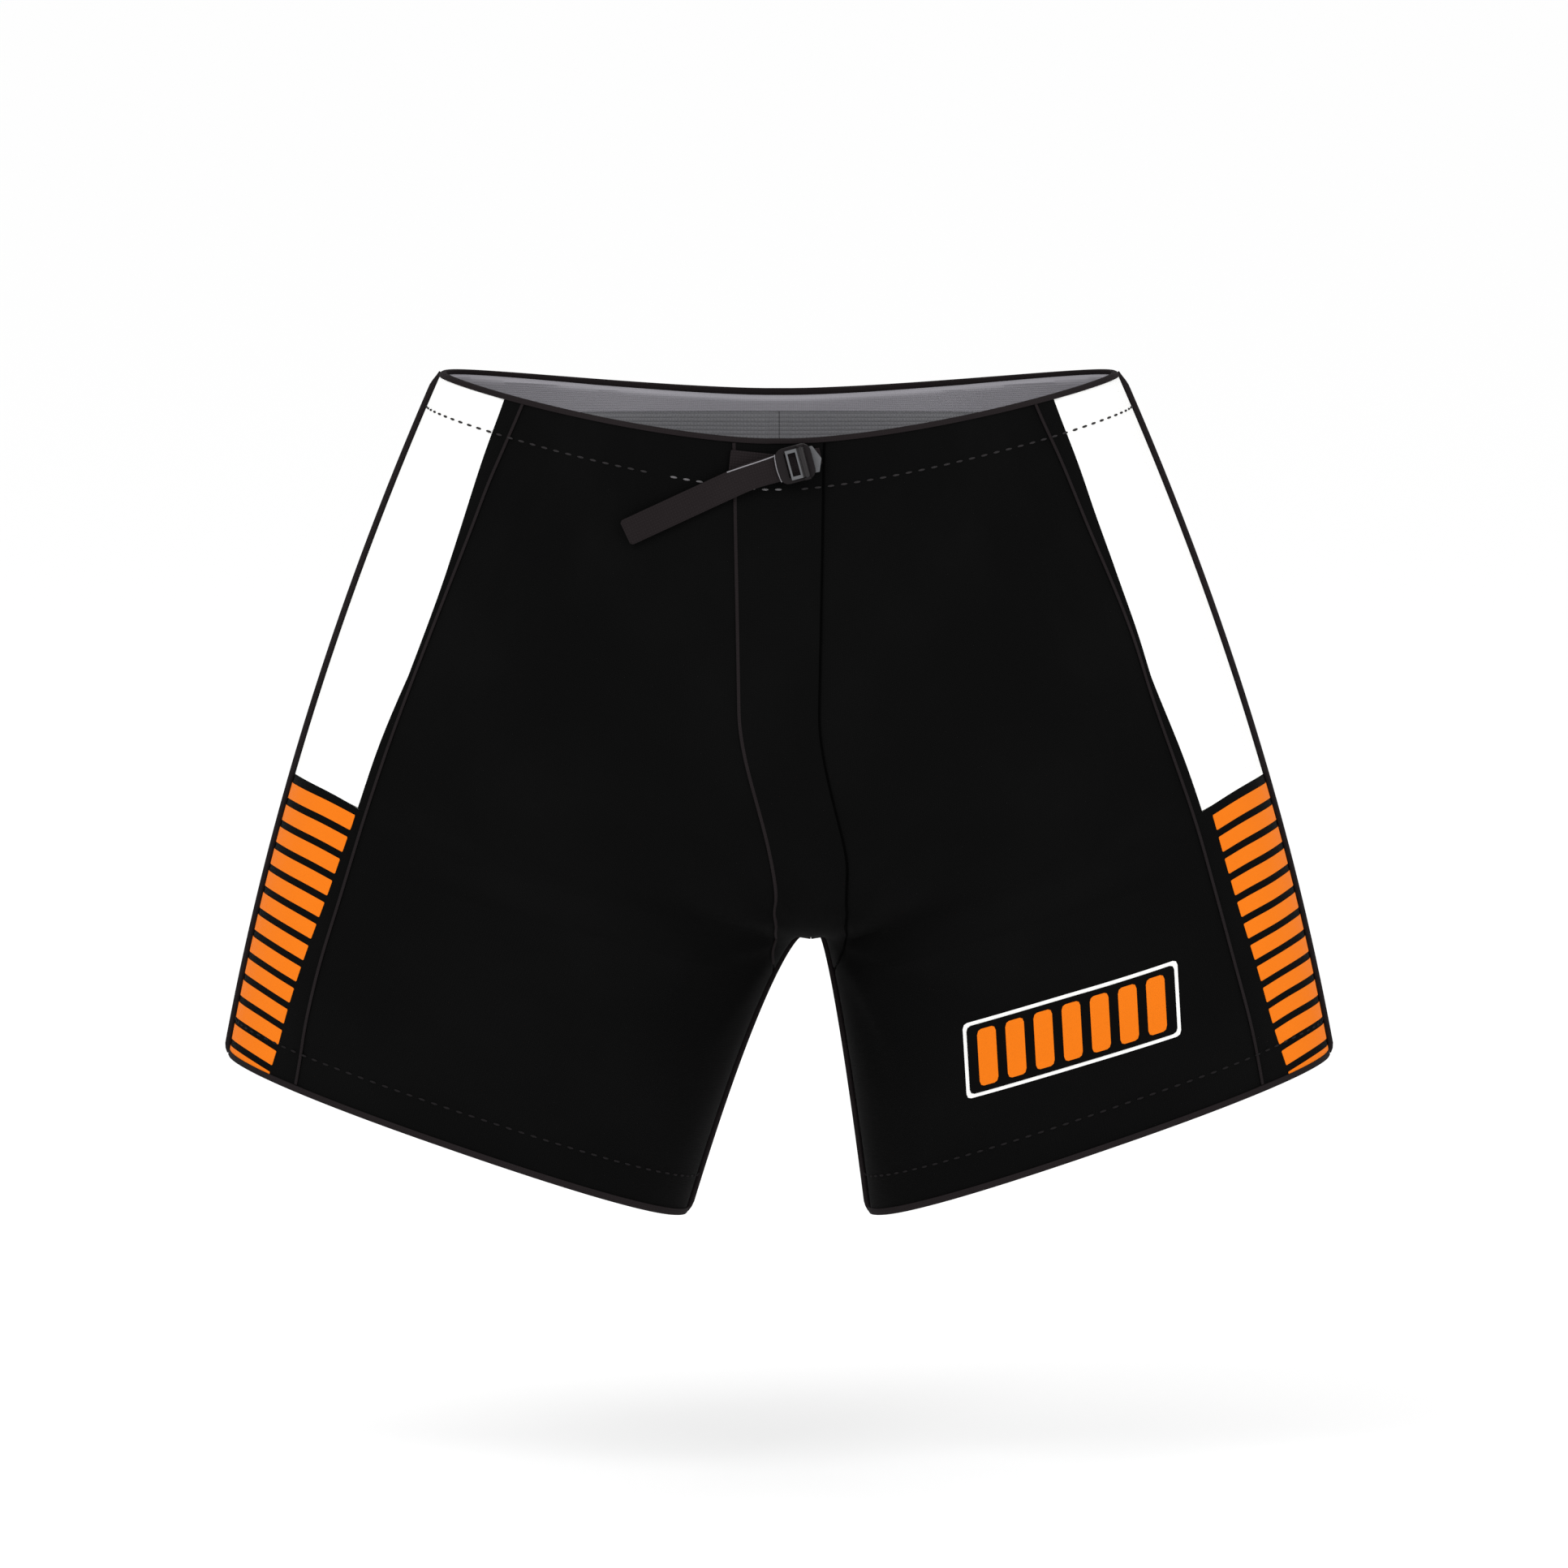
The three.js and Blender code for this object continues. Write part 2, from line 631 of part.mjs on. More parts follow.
const leverFace = [BODY.n + 0.3, BODY.n + 2.1];
const leverSlot = [[-3.3, 2.0], [-leverHalf + 2.2, leverHalf - 2.2], [BODY.n, BODY.n + 3]];
const lever = block([-4.6, PIN_U], [-leverHalf, leverHalf], leverFace)
  .add(bar(1.9, leverHalf, PIN_U, PIN_N))
  .subtract(block(...leverSlot))
  .subtract(bar(PIN_R + PIN_FIT, BODY.v, PIN_U, PIN_N));
add('cam_lever', placed(lever), 'metal');

function strapEdge(distance, across) {
  const { u, v, turn: bend } = strapLine(distance);
  return [u - across * Math.sin(bend), v + across * Math.cos(bend)];
}

const bendSteps = [0, 4, 8, 12, 16, 20, 24].map((run) => STRAP_BEND.from + run * STRAP_BEND.run / 24);
const tailSteps = [-STRAP_IN, ...bendSteps, STRAP_OUT - 1.5];
const tail = plate([
  ...tailSteps.map((distance) => strapEdge(distance, strapHalf)),
  strapEdge(STRAP_OUT, strapHalf - 1.5),
  strapEdge(STRAP_OUT, -strapHalf + 1.5),
  ...tailSteps.reverse().map((distance) => strapEdge(distance, -strapHalf)),
], [strapBase, strapTop]);
add('strap_tail', placed(tail), 'trim');

add('anchor_hook', placed(plate([
  [6, -9],
  [14, -9.5],
  [17.5, -1],
  [13.5, 8.5],
  [6, 9],
], [-1.8, -0.4])), 'metal');

export default group;
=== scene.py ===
"""Padded hockey pants: cloth shell, bindings, linings, pads and waist buckle on a fixed frame."""

import json
import logging
import math
from dataclasses import dataclass
from enum import Enum
from typing import Callable, Optional, Sequence, Union

import bpy
import numpy as np
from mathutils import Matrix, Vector

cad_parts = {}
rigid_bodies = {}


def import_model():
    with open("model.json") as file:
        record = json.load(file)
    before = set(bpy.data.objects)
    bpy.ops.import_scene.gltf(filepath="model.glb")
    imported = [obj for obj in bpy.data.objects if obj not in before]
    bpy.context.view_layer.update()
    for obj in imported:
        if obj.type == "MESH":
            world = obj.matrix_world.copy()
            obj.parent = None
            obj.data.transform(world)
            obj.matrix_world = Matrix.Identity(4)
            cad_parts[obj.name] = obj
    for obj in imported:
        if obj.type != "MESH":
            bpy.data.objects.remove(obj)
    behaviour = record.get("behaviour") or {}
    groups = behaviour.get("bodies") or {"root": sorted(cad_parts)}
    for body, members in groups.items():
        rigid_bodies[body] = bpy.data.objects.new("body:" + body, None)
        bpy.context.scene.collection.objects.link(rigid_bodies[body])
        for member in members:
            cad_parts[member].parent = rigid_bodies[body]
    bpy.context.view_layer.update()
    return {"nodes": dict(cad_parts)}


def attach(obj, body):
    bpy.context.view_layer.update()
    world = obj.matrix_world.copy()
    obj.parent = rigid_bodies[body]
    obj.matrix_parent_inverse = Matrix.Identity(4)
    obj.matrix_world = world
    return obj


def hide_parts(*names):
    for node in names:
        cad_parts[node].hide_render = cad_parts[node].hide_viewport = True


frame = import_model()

LOG = logging.getLogger("hockey_pants")
Array = np.ndarray
Edge = Callable[[Array], Array]
GARMENT = "garment"
SEAM_GAP = 0.0002


class Side(Enum):
    """The wearer's side; the value is the sign of x."""

    LEFT = 1
    RIGHT = -1

    @property
    def label(self) -> str:
        """The side's name as used in piece names."""
        return self.name.lower()


class Face(Enum):
    """Front or back of the garment; the value is the sign of the section angle."""

    FRONT = 1
    BACK = -1


# ---- Small helpers ----------------------------------------------------------------------


def smooth(value: Union[float, Array]) -> Array:
    """Ease from 0 to 1 as value goes from 0 to 1."""
    share = np.clip(value, 0.0, 1.0)
    return share * share * (3.0 - 2.0 * share)


def signed_power(value: Array, power: float) -> Array:
    """Power that keeps the sign."""
    return np.sign(value) * np.abs(value) ** power


def paint(red: int, green: int, blue: int) -> tuple[float, float, float, float]:
    """Linear colour from display values of 0 to 255."""
    def linear(value: int) -> float:
        """Linear value of one display value."""
        share = value / 255.0
        return share / 12.92 if share < 0.04045 else ((share + 0.055) / 1.055) ** 2.4

    return (linear(red), linear(green), linear(blue), 1.0)


def only(obj: bpy.types.Object) -> None:
    """Deselect everything else and make one object active.

    Args:
        obj: the object to work on.
    """
    bpy.ops.object.select_all(action="DESELECT")
    obj.select_set(True)
    bpy.context.view_layer.objects.active = obj


def apply_modifiers(obj: bpy.types.Object) -> None:
    """Apply every modifier on a piece, in order.

    Args:
        obj: the piece.
    """
    only(obj)
    for modifier in list(obj.modifiers):
        bpy.ops.object.modifier_apply(modifier=modifier.name)


def edit_all(obj: bpy.types.Object, *steps: Callable[[], object]) -> None:
    """Run edit-mode operators with the whole mesh selected.

    Args:
        obj: the piece.
        steps: operators to call, in order.
    """
    only(obj)
    bpy.ops.object.mode_set(mode="EDIT")
    bpy.ops.mesh.select_all(action="SELECT")
    for step in steps:
        step()
    bpy.ops.object.mode_set(mode="OBJECT")


def join_all(pieces: Sequence[bpy.types.Object], name: str) -> bpy.types.Object:
    """Join pieces into one object.

    Args:
        pieces: the pieces, of which the first takes in the others.
        name: name of the joined piece.

    Returns:
        The joined piece.
    """
    only(pieces[0])
    for piece in pieces:
        piece.select_set(True)
    bpy.ops.object.join()
    joined = bpy.context.active_object
    joined.name = joined.data.name = name
    return joined


def merge_close(distance: float = 1e-5) -> Callable[[], object]:
    """An edit step that merges points closer than a distance, in metres."""
    return lambda: bpy.ops.mesh.remove_doubles(threshold=distance)


def outward() -> object:
    """An edit step that turns every face outward."""
    return bpy.ops.mesh.normals_make_consistent(inside=False)


def shade(obj: bpy.types.Object, degrees: float = 40.0) -> None:
    """Smooth shading that keeps edges sharper than an angle.

    Args:
        obj: the piece.
        degrees: the angle above which an edge stays sharp.
    """
    only(obj)
    bpy.ops.object.shade_smooth_by_angle(angle=math.radians(degrees))


# ---- Form of the garment ----------------------------------------------------------------


@dataclass(frozen=True)
class GarmentForm:
    """Outer surface of the pants, by side, section angle and height share, in metres.

    The height share runs from 0 at the waist edge to 1 at the hem. The section angle is 0 at
    the outer side, positive over the front, negative over the back and pi at the inner side.
    """

    waist_half: float = 0.2278
    flare: float = 0.205
    flare_ease: float = 0.0597
    outseam: float = 0.4634
    side_top: float = 0.030
    front_top: float = -0.0085
    back_top: float = 0.0116
    crotch_z: float = -0.352
    hem_inner_z: float = -0.5415
    crotch_t: float = 0.62
    crotch_shift: float = 0.0215
    bridge: float = 0.009
    inseam_run: tuple[float, float] = (0.0313, 0.0758)
    inseam_bend: tuple[float, float] = (0.76, 0.75)
    waist_depth: float = 0.125
    depth_gain: float = 0.060
    depth_ease: float = 0.080
    seat_depth: float = 0.014
    round_power: float = 2.3
    gusset_t: float = 0.666
    seam_shares: tuple[float, float, float] = (0.748, 0.221, -0.095)
    split_z: float = -0.243
    split_slope: float = 0.566
    split_lift: float = 0.0875

    def outer_x(self, t: Array) -> Array:
        """Half width of the garment at a height share."""
        return self.waist_half + self.flare * t - self.flare_ease * t * t

    def leg_share(self, t: Array) -> Array:
        """Share of the way from the crotch to the hem."""
        return np.clip((t - self.crotch_t) / (1.0 - self.crotch_t), 0.0, 1.0)

    def inner_x(self, side: Side, t: Array) -> Array:
        """Where a side ends inward: beside the centre line, or at the inner leg."""
        pick = 0 if side is Side.LEFT else 1
        drift = self.crotch_shift * smooth((t - 0.33) / 0.23)
        run = self.inseam_run[pick] * self.leg_share(t) ** self.inseam_bend[pick]
        return drift + side.value * (self.bridge + run)

    def depth(self, t: Array, back: Array) -> Array:
        """Half depth of the section, with the seat's fullness at the back."""
        base = self.waist_depth + self.depth_gain * t - self.depth_ease * t * t
        seat = self.seat_depth * np.sin(math.pi * np.clip(t / 0.8, 0.0, 1.0))
        return base + np.where(back, seat, 0.0)

    def section(self, side: Side, t: Array) -> tuple[Array, Array]:
        """Middle and half width of one side's section."""
        fold = np.where(t < self.crotch_t, -((t / self.crotch_t) ** 5), -1.0)
        outer = side.value * self.outer_x(t)
        half = np.abs(outer - self.inner_x(side, t)) / (1.0 - fold)
        return outer - side.value * half, half

    def ring_z(self, side: Side, t: Array, x: Array, back: Array) -> tuple[Array, Array]:
        """Height of the section line at x, and how far out x lies."""
        inner = self.inner_x(side, t)
        outer = side.value * self.outer_x(t)
        share = np.clip((x - inner) / (outer - inner), 0.0, 1.0)
        above = np.minimum(t / self.crotch_t, 1.0)
        low = self.front_top + (self.crotch_z - self.front_top) * above
        low = low + (self.hem_inner_z - self.crotch_z) * self.leg_share(t)
        low = low + np.where(back, (self.back_top - self.front_top) * (1.0 - above) ** 2, 0.0)
        bend = 1.5 - 0.5 * np.minimum(1.0, t / 0.5)
        top = self.side_top - self.outseam * t
        return low + (top - low) * share ** bend, share

    def angle_at(self, side: Side, t: Array, x: Array) -> Array:
        """Section angle of the front point at x."""
        middle, half = self.section(side, t)
        cosine = np.clip(side.value * (x - middle) / half, -1.0, 1.0)
        return np.arccos(signed_power(cosine, self.round_power / 2.0))

    def surface(self, side: Side, angle: Array, t: Array, offset: Array) -> Array:
        """Points of the garment, a given distance inside its outer surface.

        Args:
            side: which side of the garment.
            angle: section angles.
            t: height shares, of the same shape.
            offset: distance inward, negative for outside.

        Returns:
            An array of points, with x, y and z in the last axis.
        """
        middle, half = self.section(side, t)
        back = angle < 0.0
        across = side.value * signed_power(np.cos(angle), 2.0 / self.round_power)
        out = np.abs(np.sin(angle)) ** (2.0 / self.round_power)
        z, share = self.ring_z(side, t, middle + half * across, back)
        lift = np.exp(-(((t - self.crotch_t) / 0.08) ** 2)) * (1.0 - share) ** 2
        y = np.maximum((self.depth(t, back) - offset) * out, 0.0003)
        x = middle + (half - offset) * across
        return np.stack([x, np.where(back, y, -y), z + offset * lift], axis=-1)

    def share_at(self, side: Side, x: Array, z: Array, face: Face) -> Array:
        """Height share of the surface point seen at x and z."""
        low, high = np.zeros_like(x), np.ones_like(x)
        back = np.full(x.shape, face is Face.BACK)
        for _ in range(36):
            middle = (low + high) / 2.0
            above = self.ring_z(side, middle, x, back)[0] > z
            low, high = np.where(above, middle, low), np.where(above, high, middle)
        return low

    def seam_x(self, side: Side, t: Array) -> Array:
        """Where the front side seam runs."""
        start, spread, ease = self.seam_shares
        return side.value * self.outer_x(t) * (start + spread * t + ease * t * t)

    def fly_x(self, side: Side, t: Array) -> Array:
        """Where the fly panel ends."""
        half = 0.030 - 0.0063 * np.minimum(1.0, t / self.crotch_t) - self.bridge
        left = np.clip((self.gusset_t - t) / (self.gusset_t - self.crotch_t), 0.0, 1.0)
        return self.inner_x(side, t) + side.value * half * left

    def slant_share(self, angle_of: Edge, count: int, drop: Union[float, Array]) -> Array:
        """Height shares where a slanted line crosses side-panel columns.

        Args:
            angle_of: section angle of every column at its own height share.
            count: number of columns.
            drop: how far the line lies below the side-panel join, or one distance per column.

        Returns:
            One height share for each column.
        """
        low, high = np.full(count, 0.3), np.full(count, 1.2)
        for _ in range(36):
            t = (low + high) / 2.0
            x, y, z = np.moveaxis(self.surface(Side.LEFT, angle_of(t), t, np.zeros(count)), -1, 0)
            line = self.split_z - drop - self.split_slope * (self.outer_x(t) - x)
            above = z > line + self.split_lift * np.abs(y)
            low, high = np.where(above, t, low), np.where(above, high, t)
        return low


FORM = GarmentForm()


FOLD_LIMIT = 0.0026
CREASE_X, CREASE_Z = 0.0215, -0.345


def drape(side: Side, t: Array, point: Array) -> Array:
    """How far the cloth stands inward of its plain form, for soft folds.

    Args:
        side: the side of the garment.
        t: height shares of the points.
        point: points of the plain form.

    Returns:
        Distances inward, in metres, the same on both sides of every seam.
    """
    x, y, z = np.moveaxis(point, -1, 0)
    outer = np.abs(side.value * FORM.outer_x(t) - x)
    inner = np.abs(x - FORM.inner_x(side, t)) + 0.04 * smooth((FORM.crotch_t - t) / 0.2)
    free = smooth((t - 0.01) / 0.14) * smooth((0.99 - t) / 0.10)
    free = free * smooth((outer + 0.002) / 0.03) * smooth((inner - 0.001) / 0.025)
    folds = 0.0020 * np.sin(34.0 * x + 11.0 * z + 1.6 * np.sin(13.0 * z + 9.0 * y))
    folds = folds + 0.0010 * np.sin(61.0 * x - 27.0 * z + 24.0 * y + 2.0)
    reach = np.hypot(x - CREASE_X, z - CREASE_Z)
    around = np.arctan2(z - CREASE_Z, np.abs(x - CREASE_X) + 1e-4)
    crease = 0.0024 * np.sin(11.0 * around + 1.0) * np.exp(-(((reach - 0.075) / 0.05) ** 2))
    pucker = 0.0004 * np.sin(96.0 * np.arctan2(y, x)) * np.exp(-(((z + 0.02) / 0.03) ** 2))
    total = free * (folds + crease + pucker)
    return FOLD_LIMIT * np.tanh(total / FOLD_LIMIT)


def draped(side: Side, angle: Array, t: Array, offset: Array) -> Array:
    """Points of the draped cloth, a given distance inside its face."""
    plain = FORM.surface(side, angle, t, offset)
    return FORM.surface(side, angle, t, offset + drape(side, t, plain))


# ---- Meshes -----------------------------------------------------------------------------


def grid_object(
    name: str,
    points: Array,
    drop: Optional[Array] = None,
    slots: Optional[Array] = None,
    closed: bool = False,
) -> bpy.types.Object:
    """A primitive grid whose points are set, with its own map in metres.

    Args:
        name: name of the piece.
        points: rows and columns of points.
        drop: faces to leave out, by row and column.
        slots: material index of each face, by row and column.
        closed: merge the points that meet, for a ring.

    Returns:
        The new object.
    """
    rows, cols = points.shape[:2]
    bpy.ops.object.select_all(action="DESELECT")
    bpy.ops.mesh.primitive_grid_add(x_subdivisions=cols - 1, y_subdivisions=rows - 1, size=2.0)
    obj = bpy.context.active_object
    obj.name = obj.data.name = name
    mesh = obj.data
    mesh.vertices.foreach_set("co", points.astype(np.float32).ravel())
    run = np.linalg.norm(np.diff(points, axis=1), axis=-1).mean(axis=0)
    fall = np.linalg.norm(np.diff(points, axis=0), axis=-1).mean(axis=1)
    along = np.concatenate([[0.0], np.cumsum(run)])
    down = np.concatenate([[0.0], np.cumsum(fall)])
    corner = np.zeros(len(mesh.loops), int)
    mesh.loops.foreach_get("vertex_index", corner)
    chart = np.stack([along[corner % cols], down[corner // cols]], axis=-1)
    mesh.uv_layers.active.data.foreach_set("uv", chart.astype(np.float32).ravel())
    if slots is not None:
        mesh.polygons.foreach_set("material_index", slots.astype(np.int32).ravel())
    mesh.update()
    if drop is not None:
        only(obj)
        bpy.ops.object.mode_set(mode="EDIT")
        bpy.ops.mesh.select_all(action="DESELECT")
        bpy.ops.object.mode_set(mode="OBJECT")
        mesh.polygons.foreach_set("select", drop.ravel())
        bpy.ops.object.mode_set(mode="EDIT")
        bpy.ops.mesh.select_mode(type="FACE")
        bpy.ops.mesh.delete(type="FACE")
        bpy.ops.object.mode_set(mode="OBJECT")
    if closed:
        edit_all(obj, merge_close())
    return obj


def face_away(obj: bpy.types.Object, inside: Array) -> None:
    """Turn a one-layer sheet so that its normals point away from a point.

    Args:
        obj: the sheet.
        inside: a point behind the middle of the sheet.
    """
    mesh = obj.data
    centres = np.zeros(len(mesh.polygons) * 3, np.float32)
    normals = np.zeros_like(centres)
    mesh.polygons.foreach_get("center", centres)
    mesh.polygons.foreach_get("normal", normals)
    middle = centres.reshape(-1, 3) - inside
    if np.sum(middle * normals.reshape(-1, 3)) < 0.0:
        edit_all(obj, lambda: bpy.ops.mesh.flip_normals())


def thicken(obj: bpy.types.Object, thickness: float) -> None:
    """Give a sheet its thickness, inward, and apply it.

    Args:
        obj: the sheet, with its normals outward.
        thickness: in metres.
    """
    modifier = obj.modifiers.new("thickness", "SOLIDIFY")
    modifier.thickness = thickness
    modifier.offset = -1.0
    modifier.use_even_offset = True
    modifier.use_quality_normals = True
    apply_modifiers(obj)


@dataclass
class Cut:
    """Flat size of a sheet, measured along its own threads."""

    width: float
    length: float
    area: float

    @classmethod
    def of(cls, points: Array, keep: Optional[Array] = None) -> "Cut":
        """Measure a sheet from its grid.

        Args:
            points: rows and columns of points.
            keep: the faces that are cloth.

        Returns:
            The sheet's widest run, longest fall and area.
        """
        across = np.linalg.norm(np.diff(points, axis=1), axis=-1)
        down = np.linalg.norm(np.diff(points, axis=0), axis=-1)
        one = np.cross(points[1:, 1:] - points[:-1, :-1], points[1:, :-1] - points[:-1, 1:])
        cells = np.linalg.norm(one, axis=-1) / 2.0
        if keep is not None:
            cells = cells * keep
        return cls(float(across.sum(1).max()), float(down.sum(0).max()), float(cells.sum()))


def place(
    obj: bpy.types.Object,
    look: str,
    nodes: Sequence[str] = (),
    body: str = GARMENT,
) -> bpy.types.Object:
    """Dress a finished piece and tie it to the frame.

    Args:
        obj: the finished piece.
        look: name of its material.
        nodes: CAD nodes that it stands for.
        body: the body that it rides on.

    Returns:
        The same piece.
    """
    if not obj.data.materials:
        obj.data.materials.append(bpy.data.materials[look])
    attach(obj, body)
    if nodes:
        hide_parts(*nodes)
    LOG.info("%s: %d faces", obj.name, len(obj.data.polygons))
    return obj


@dataclass(frozen=True)
class BuckleFrame:
    """The buckle's own axes: along the strap, across it and outward."""

    origin: tuple[float, float, float] = (0.011, -0.1319789, -0.0242)
    turn: float = 15.0
    lean: float = 2.90744

    def axes(self) -> tuple[Array, Array, Array]:
        """Unit vectors along the strap, across it and outward."""
        turn, lean = math.radians(self.turn), math.radians(self.lean)
        along = np.array(
            [math.cos(turn) * math.cos(lean), -math.sin(lean), math.sin(turn) * math.cos(lean)]
        )
        across = np.array([-math.sin(turn), 0.0, math.cos(turn)])
        return along, across, np.cross(along, across)

    def beyond(self, u: float) -> tuple[float, float, float, float]:
        """The plane across the strap at a distance along it: its normal and its distance."""
        along = self.axes()[0]
        return (*(float(c) for c in along), float(along @ np.array(self.origin)) + u)

    def at(self, u: Array, v: Array, n: Array) -> Array:
        """Points in the garment's frame.

        Args:
            u: distance along the strap, toward its anchor.
            v: distance across the strap, upward.
            n: distance outward.

        Returns:
            An array of points.
        """
        along, across, away = self.axes()
        u, v, n = np.broadcast_arrays(u, v, n)
        return (
            np.array(self.origin) + u[..., None] * along + v[..., None] * across
            + n[..., None] * away
        )


BUCKLE = BuckleFrame()


# ---- Finishes ---------------------------------------------------------------------------


class Nodes:
    """Short way to write node trees."""

    def __init__(self, tree: bpy.types.NodeTree) -> None:
        """Start on an empty tree."""
        self.tree = tree
        tree.nodes.clear()

    def add(self, kind: str, **values: object) -> bpy.types.Node:
        """Add a node; a value names a property or, with a leading s and a number, a socket."""
        node = self.tree.nodes.new(kind)
        for key, value in values.items():
            if key[0] == "s" and key[1:].isdigit():
                self.feed(value, node.inputs[int(key[1:])])
            else:
                setattr(node, key, value)
        return node

    def feed(self, value: object, socket: bpy.types.NodeSocket) -> None:
        """Link an output to a socket, or set its value."""
        if isinstance(value, bpy.types.NodeSocket):
            self.tree.links.new(value, socket)
        else:
            socket.default_value = value

    def math(self, operation: str, *values: object) -> bpy.types.NodeSocket:
        """A math node's output."""
        node = self.add("ShaderNodeMath", operation=operation)
        for value, socket in zip(values, node.inputs):
            self.feed(value, socket)
        return node.outputs[0]

    def noise(self, where: object, scale: float, detail: float = 3.0) -> bpy.types.NodeSocket:
        """A noise pattern's value."""
        node = self.add("ShaderNodeTexNoise")
        self.feed(where, node.inputs["Vector"])
        self.feed(scale, node.inputs["Scale"])
        self.feed(detail, node.inputs["Detail"])
        return node.outputs["Fac"]

    def mix(self, share: object, one: object, two: object) -> bpy.types.NodeSocket:
        """A mix of two colours."""
        node = self.add("ShaderNodeMix", data_type="RGBA")
        self.feed(share, node.inputs[0])
        self.feed(one, node.inputs[6])
        self.feed(two, node.inputs[7])
        return node.outputs[2]


def new_group(name: str, inputs: Sequence[tuple[str, str]], outputs: Sequence[str]) -> Nodes:
    """A shader node group with named sockets.

    Args:
        name: name of the group.
        inputs: names and socket kinds.
        outputs: names of value outputs.

    Returns:
        The group's tree, cleared for writing.
    """
    tree = bpy.data.node_groups.new(name, "ShaderNodeTree")
    for label, kind in inputs:
        tree.interface.new_socket(name=label, in_out="INPUT", socket_type=kind)
    for label in outputs:
        tree.interface.new_socket(name=label, in_out="OUTPUT", socket_type="NodeSocketFloat")
    return Nodes(tree)


def weave_group() -> bpy.types.NodeTree:
    """Threads over and under one another: height of the weave and its uneven dye."""
    inputs = [("Map", "NodeSocketVector"), ("Pitch", "NodeSocketFloat")]
    nodes = new_group("weave", inputs, ["Height", "Dye"])
    entry = nodes.add("NodeGroupInput")
    leave = nodes.add("NodeGroupOutput")
    split = nodes.add("ShaderNodeSeparateXYZ", s0=entry.outputs["Map"])
    turn = nodes.math("DIVIDE", math.pi, entry.outputs["Pitch"])
    warp = nodes.math("SINE", nodes.math("MULTIPLY", split.outputs[0], turn))
    weft = nodes.math("SINE", nodes.math("MULTIPLY", split.outputs[1], turn))
    height = nodes.math("ABSOLUTE", nodes.math("MULTIPLY", warp, weft))
    slub = nodes.noise(entry.outputs["Map"], 900.0, 2.0)
    nodes.feed(nodes.math("ADD", height, nodes.math("MULTIPLY", slub, 0.5)), leave.inputs[0])
    broad = nodes.noise(entry.outputs["Map"], 9.0, 4.0)
    nodes.feed(broad, leave.inputs[1])
    return nodes.tree


def grain_group() -> bpy.types.NodeTree:
    """Fine grain and faint handling marks on hard parts."""
    nodes = new_group("grain", [("Place", "NodeSocketVector")], ["Height", "Wear"])
    entry = nodes.add("NodeGroupInput")
    leave = nodes.add("NodeGroupOutput")
    fine = nodes.noise(entry.outputs["Place"], 2600.0, 2.0)
    broad = nodes.noise(entry.outputs["Place"], 160.0, 4.0)
    nodes.feed(fine, leave.inputs[0])
    nodes.feed(broad, leave.inputs[1])
    return nodes.tree


@dataclass(frozen=True)
class ClothFinish:
    """A woven or knitted cloth."""

    name: str
    colour: tuple[float, float, float, float]
    worn: tuple[float, float, float, float]
    pitch: float = 0.0011
    depth: float = 0.0002
    roughness: float = 0.85
    gloss: float = 0.12
    sheen: float = 0.0

    def build(self) -> bpy.types.Material:
        """Make the material on the piece's own map."""
        material = bpy.data.materials.new(self.name)
        material.use_nodes = True
        nodes = Nodes(material.node_tree)
        chart = nodes.add("ShaderNodeUVMap").outputs[0]
        weave = nodes.add("ShaderNodeGroup", node_tree=bpy.data.node_groups["weave"])
        nodes.feed(chart, weave.inputs["Map"])
        nodes.feed(self.pitch, weave.inputs["Pitch"])
        dye = nodes.math("MULTIPLY", smooth_step(nodes, weave.outputs["Dye"], 0.35, 0.75), 0.5)
        thread = nodes.math("MULTIPLY", weave.outputs["Height"], 0.35)
        share = nodes.math("ADD", dye, thread)
        colour = nodes.mix(share, self.colour, self.worn)
        rough = nodes.math("MULTIPLY_ADD", weave.outputs["Dye"], 0.12, self.roughness - 0.06)
        bump = nodes.add("ShaderNodeBump")
        bump.inputs["Strength"].default_value = 0.6
        bump.inputs["Distance"].default_value = self.depth
        nodes.feed(weave.outputs["Height"], bump.inputs["Height"])
        finish_shader(nodes, colour, rough, bump.outputs[0], 0.0, self.gloss, self.sheen)
        return material


@dataclass(frozen=True)
class HardFinish:
    """Moulded plastic, foam or satin metal."""

    name: str
    colour: tuple[float, float, float, float]
    worn: tuple[float, float, float, float]
    roughness: float = 0.4
    metallic: float = 0.0
    gloss: float = 0.4
    depth: float = 0.00005
    beyond: Optional[tuple[float, float, float, float]] = None
    second: tuple[float, float, float, float] = paint(23, 20, 21)

    def build(self) -> bpy.types.Material:
        """Make the material on the object's own coordinates."""
        material = bpy.data.materials.new(self.name)
        material.use_nodes = True
        nodes = Nodes(material.node_tree)
        where = nodes.add("ShaderNodeTexCoord").outputs["Object"]
        grain = nodes.add("ShaderNodeGroup", node_tree=bpy.data.node_groups["grain"])
        nodes.feed(where, grain.inputs["Place"])
        colour = nodes.mix(grain.outputs["Wear"], self.colour, self.worn)
        if self.beyond is not None:
            along = nodes.add("ShaderNodeVectorMath", operation="DOT_PRODUCT", s0=where)
            along.inputs[1].default_value = self.beyond[:3]
            colour = nodes.mix(
                nodes.math("GREATER_THAN", along.outputs["Value"], self.beyond[3]),
                colour,
                self.second,
            )
        rough = nodes.math("MULTIPLY_ADD", grain.outputs["Wear"], 0.2, self.roughness - 0.1)
        bump = nodes.add("ShaderNodeBump")
        bump.inputs["Strength"].default_value = 0.5
        bump.inputs["Distance"].default_value = self.depth
        nodes.feed(grain.outputs["Height"], bump.inputs["Height"])
        finish_shader(nodes, colour, rough, bump.outputs[0], self.metallic, self.gloss, 0.0)
        return material


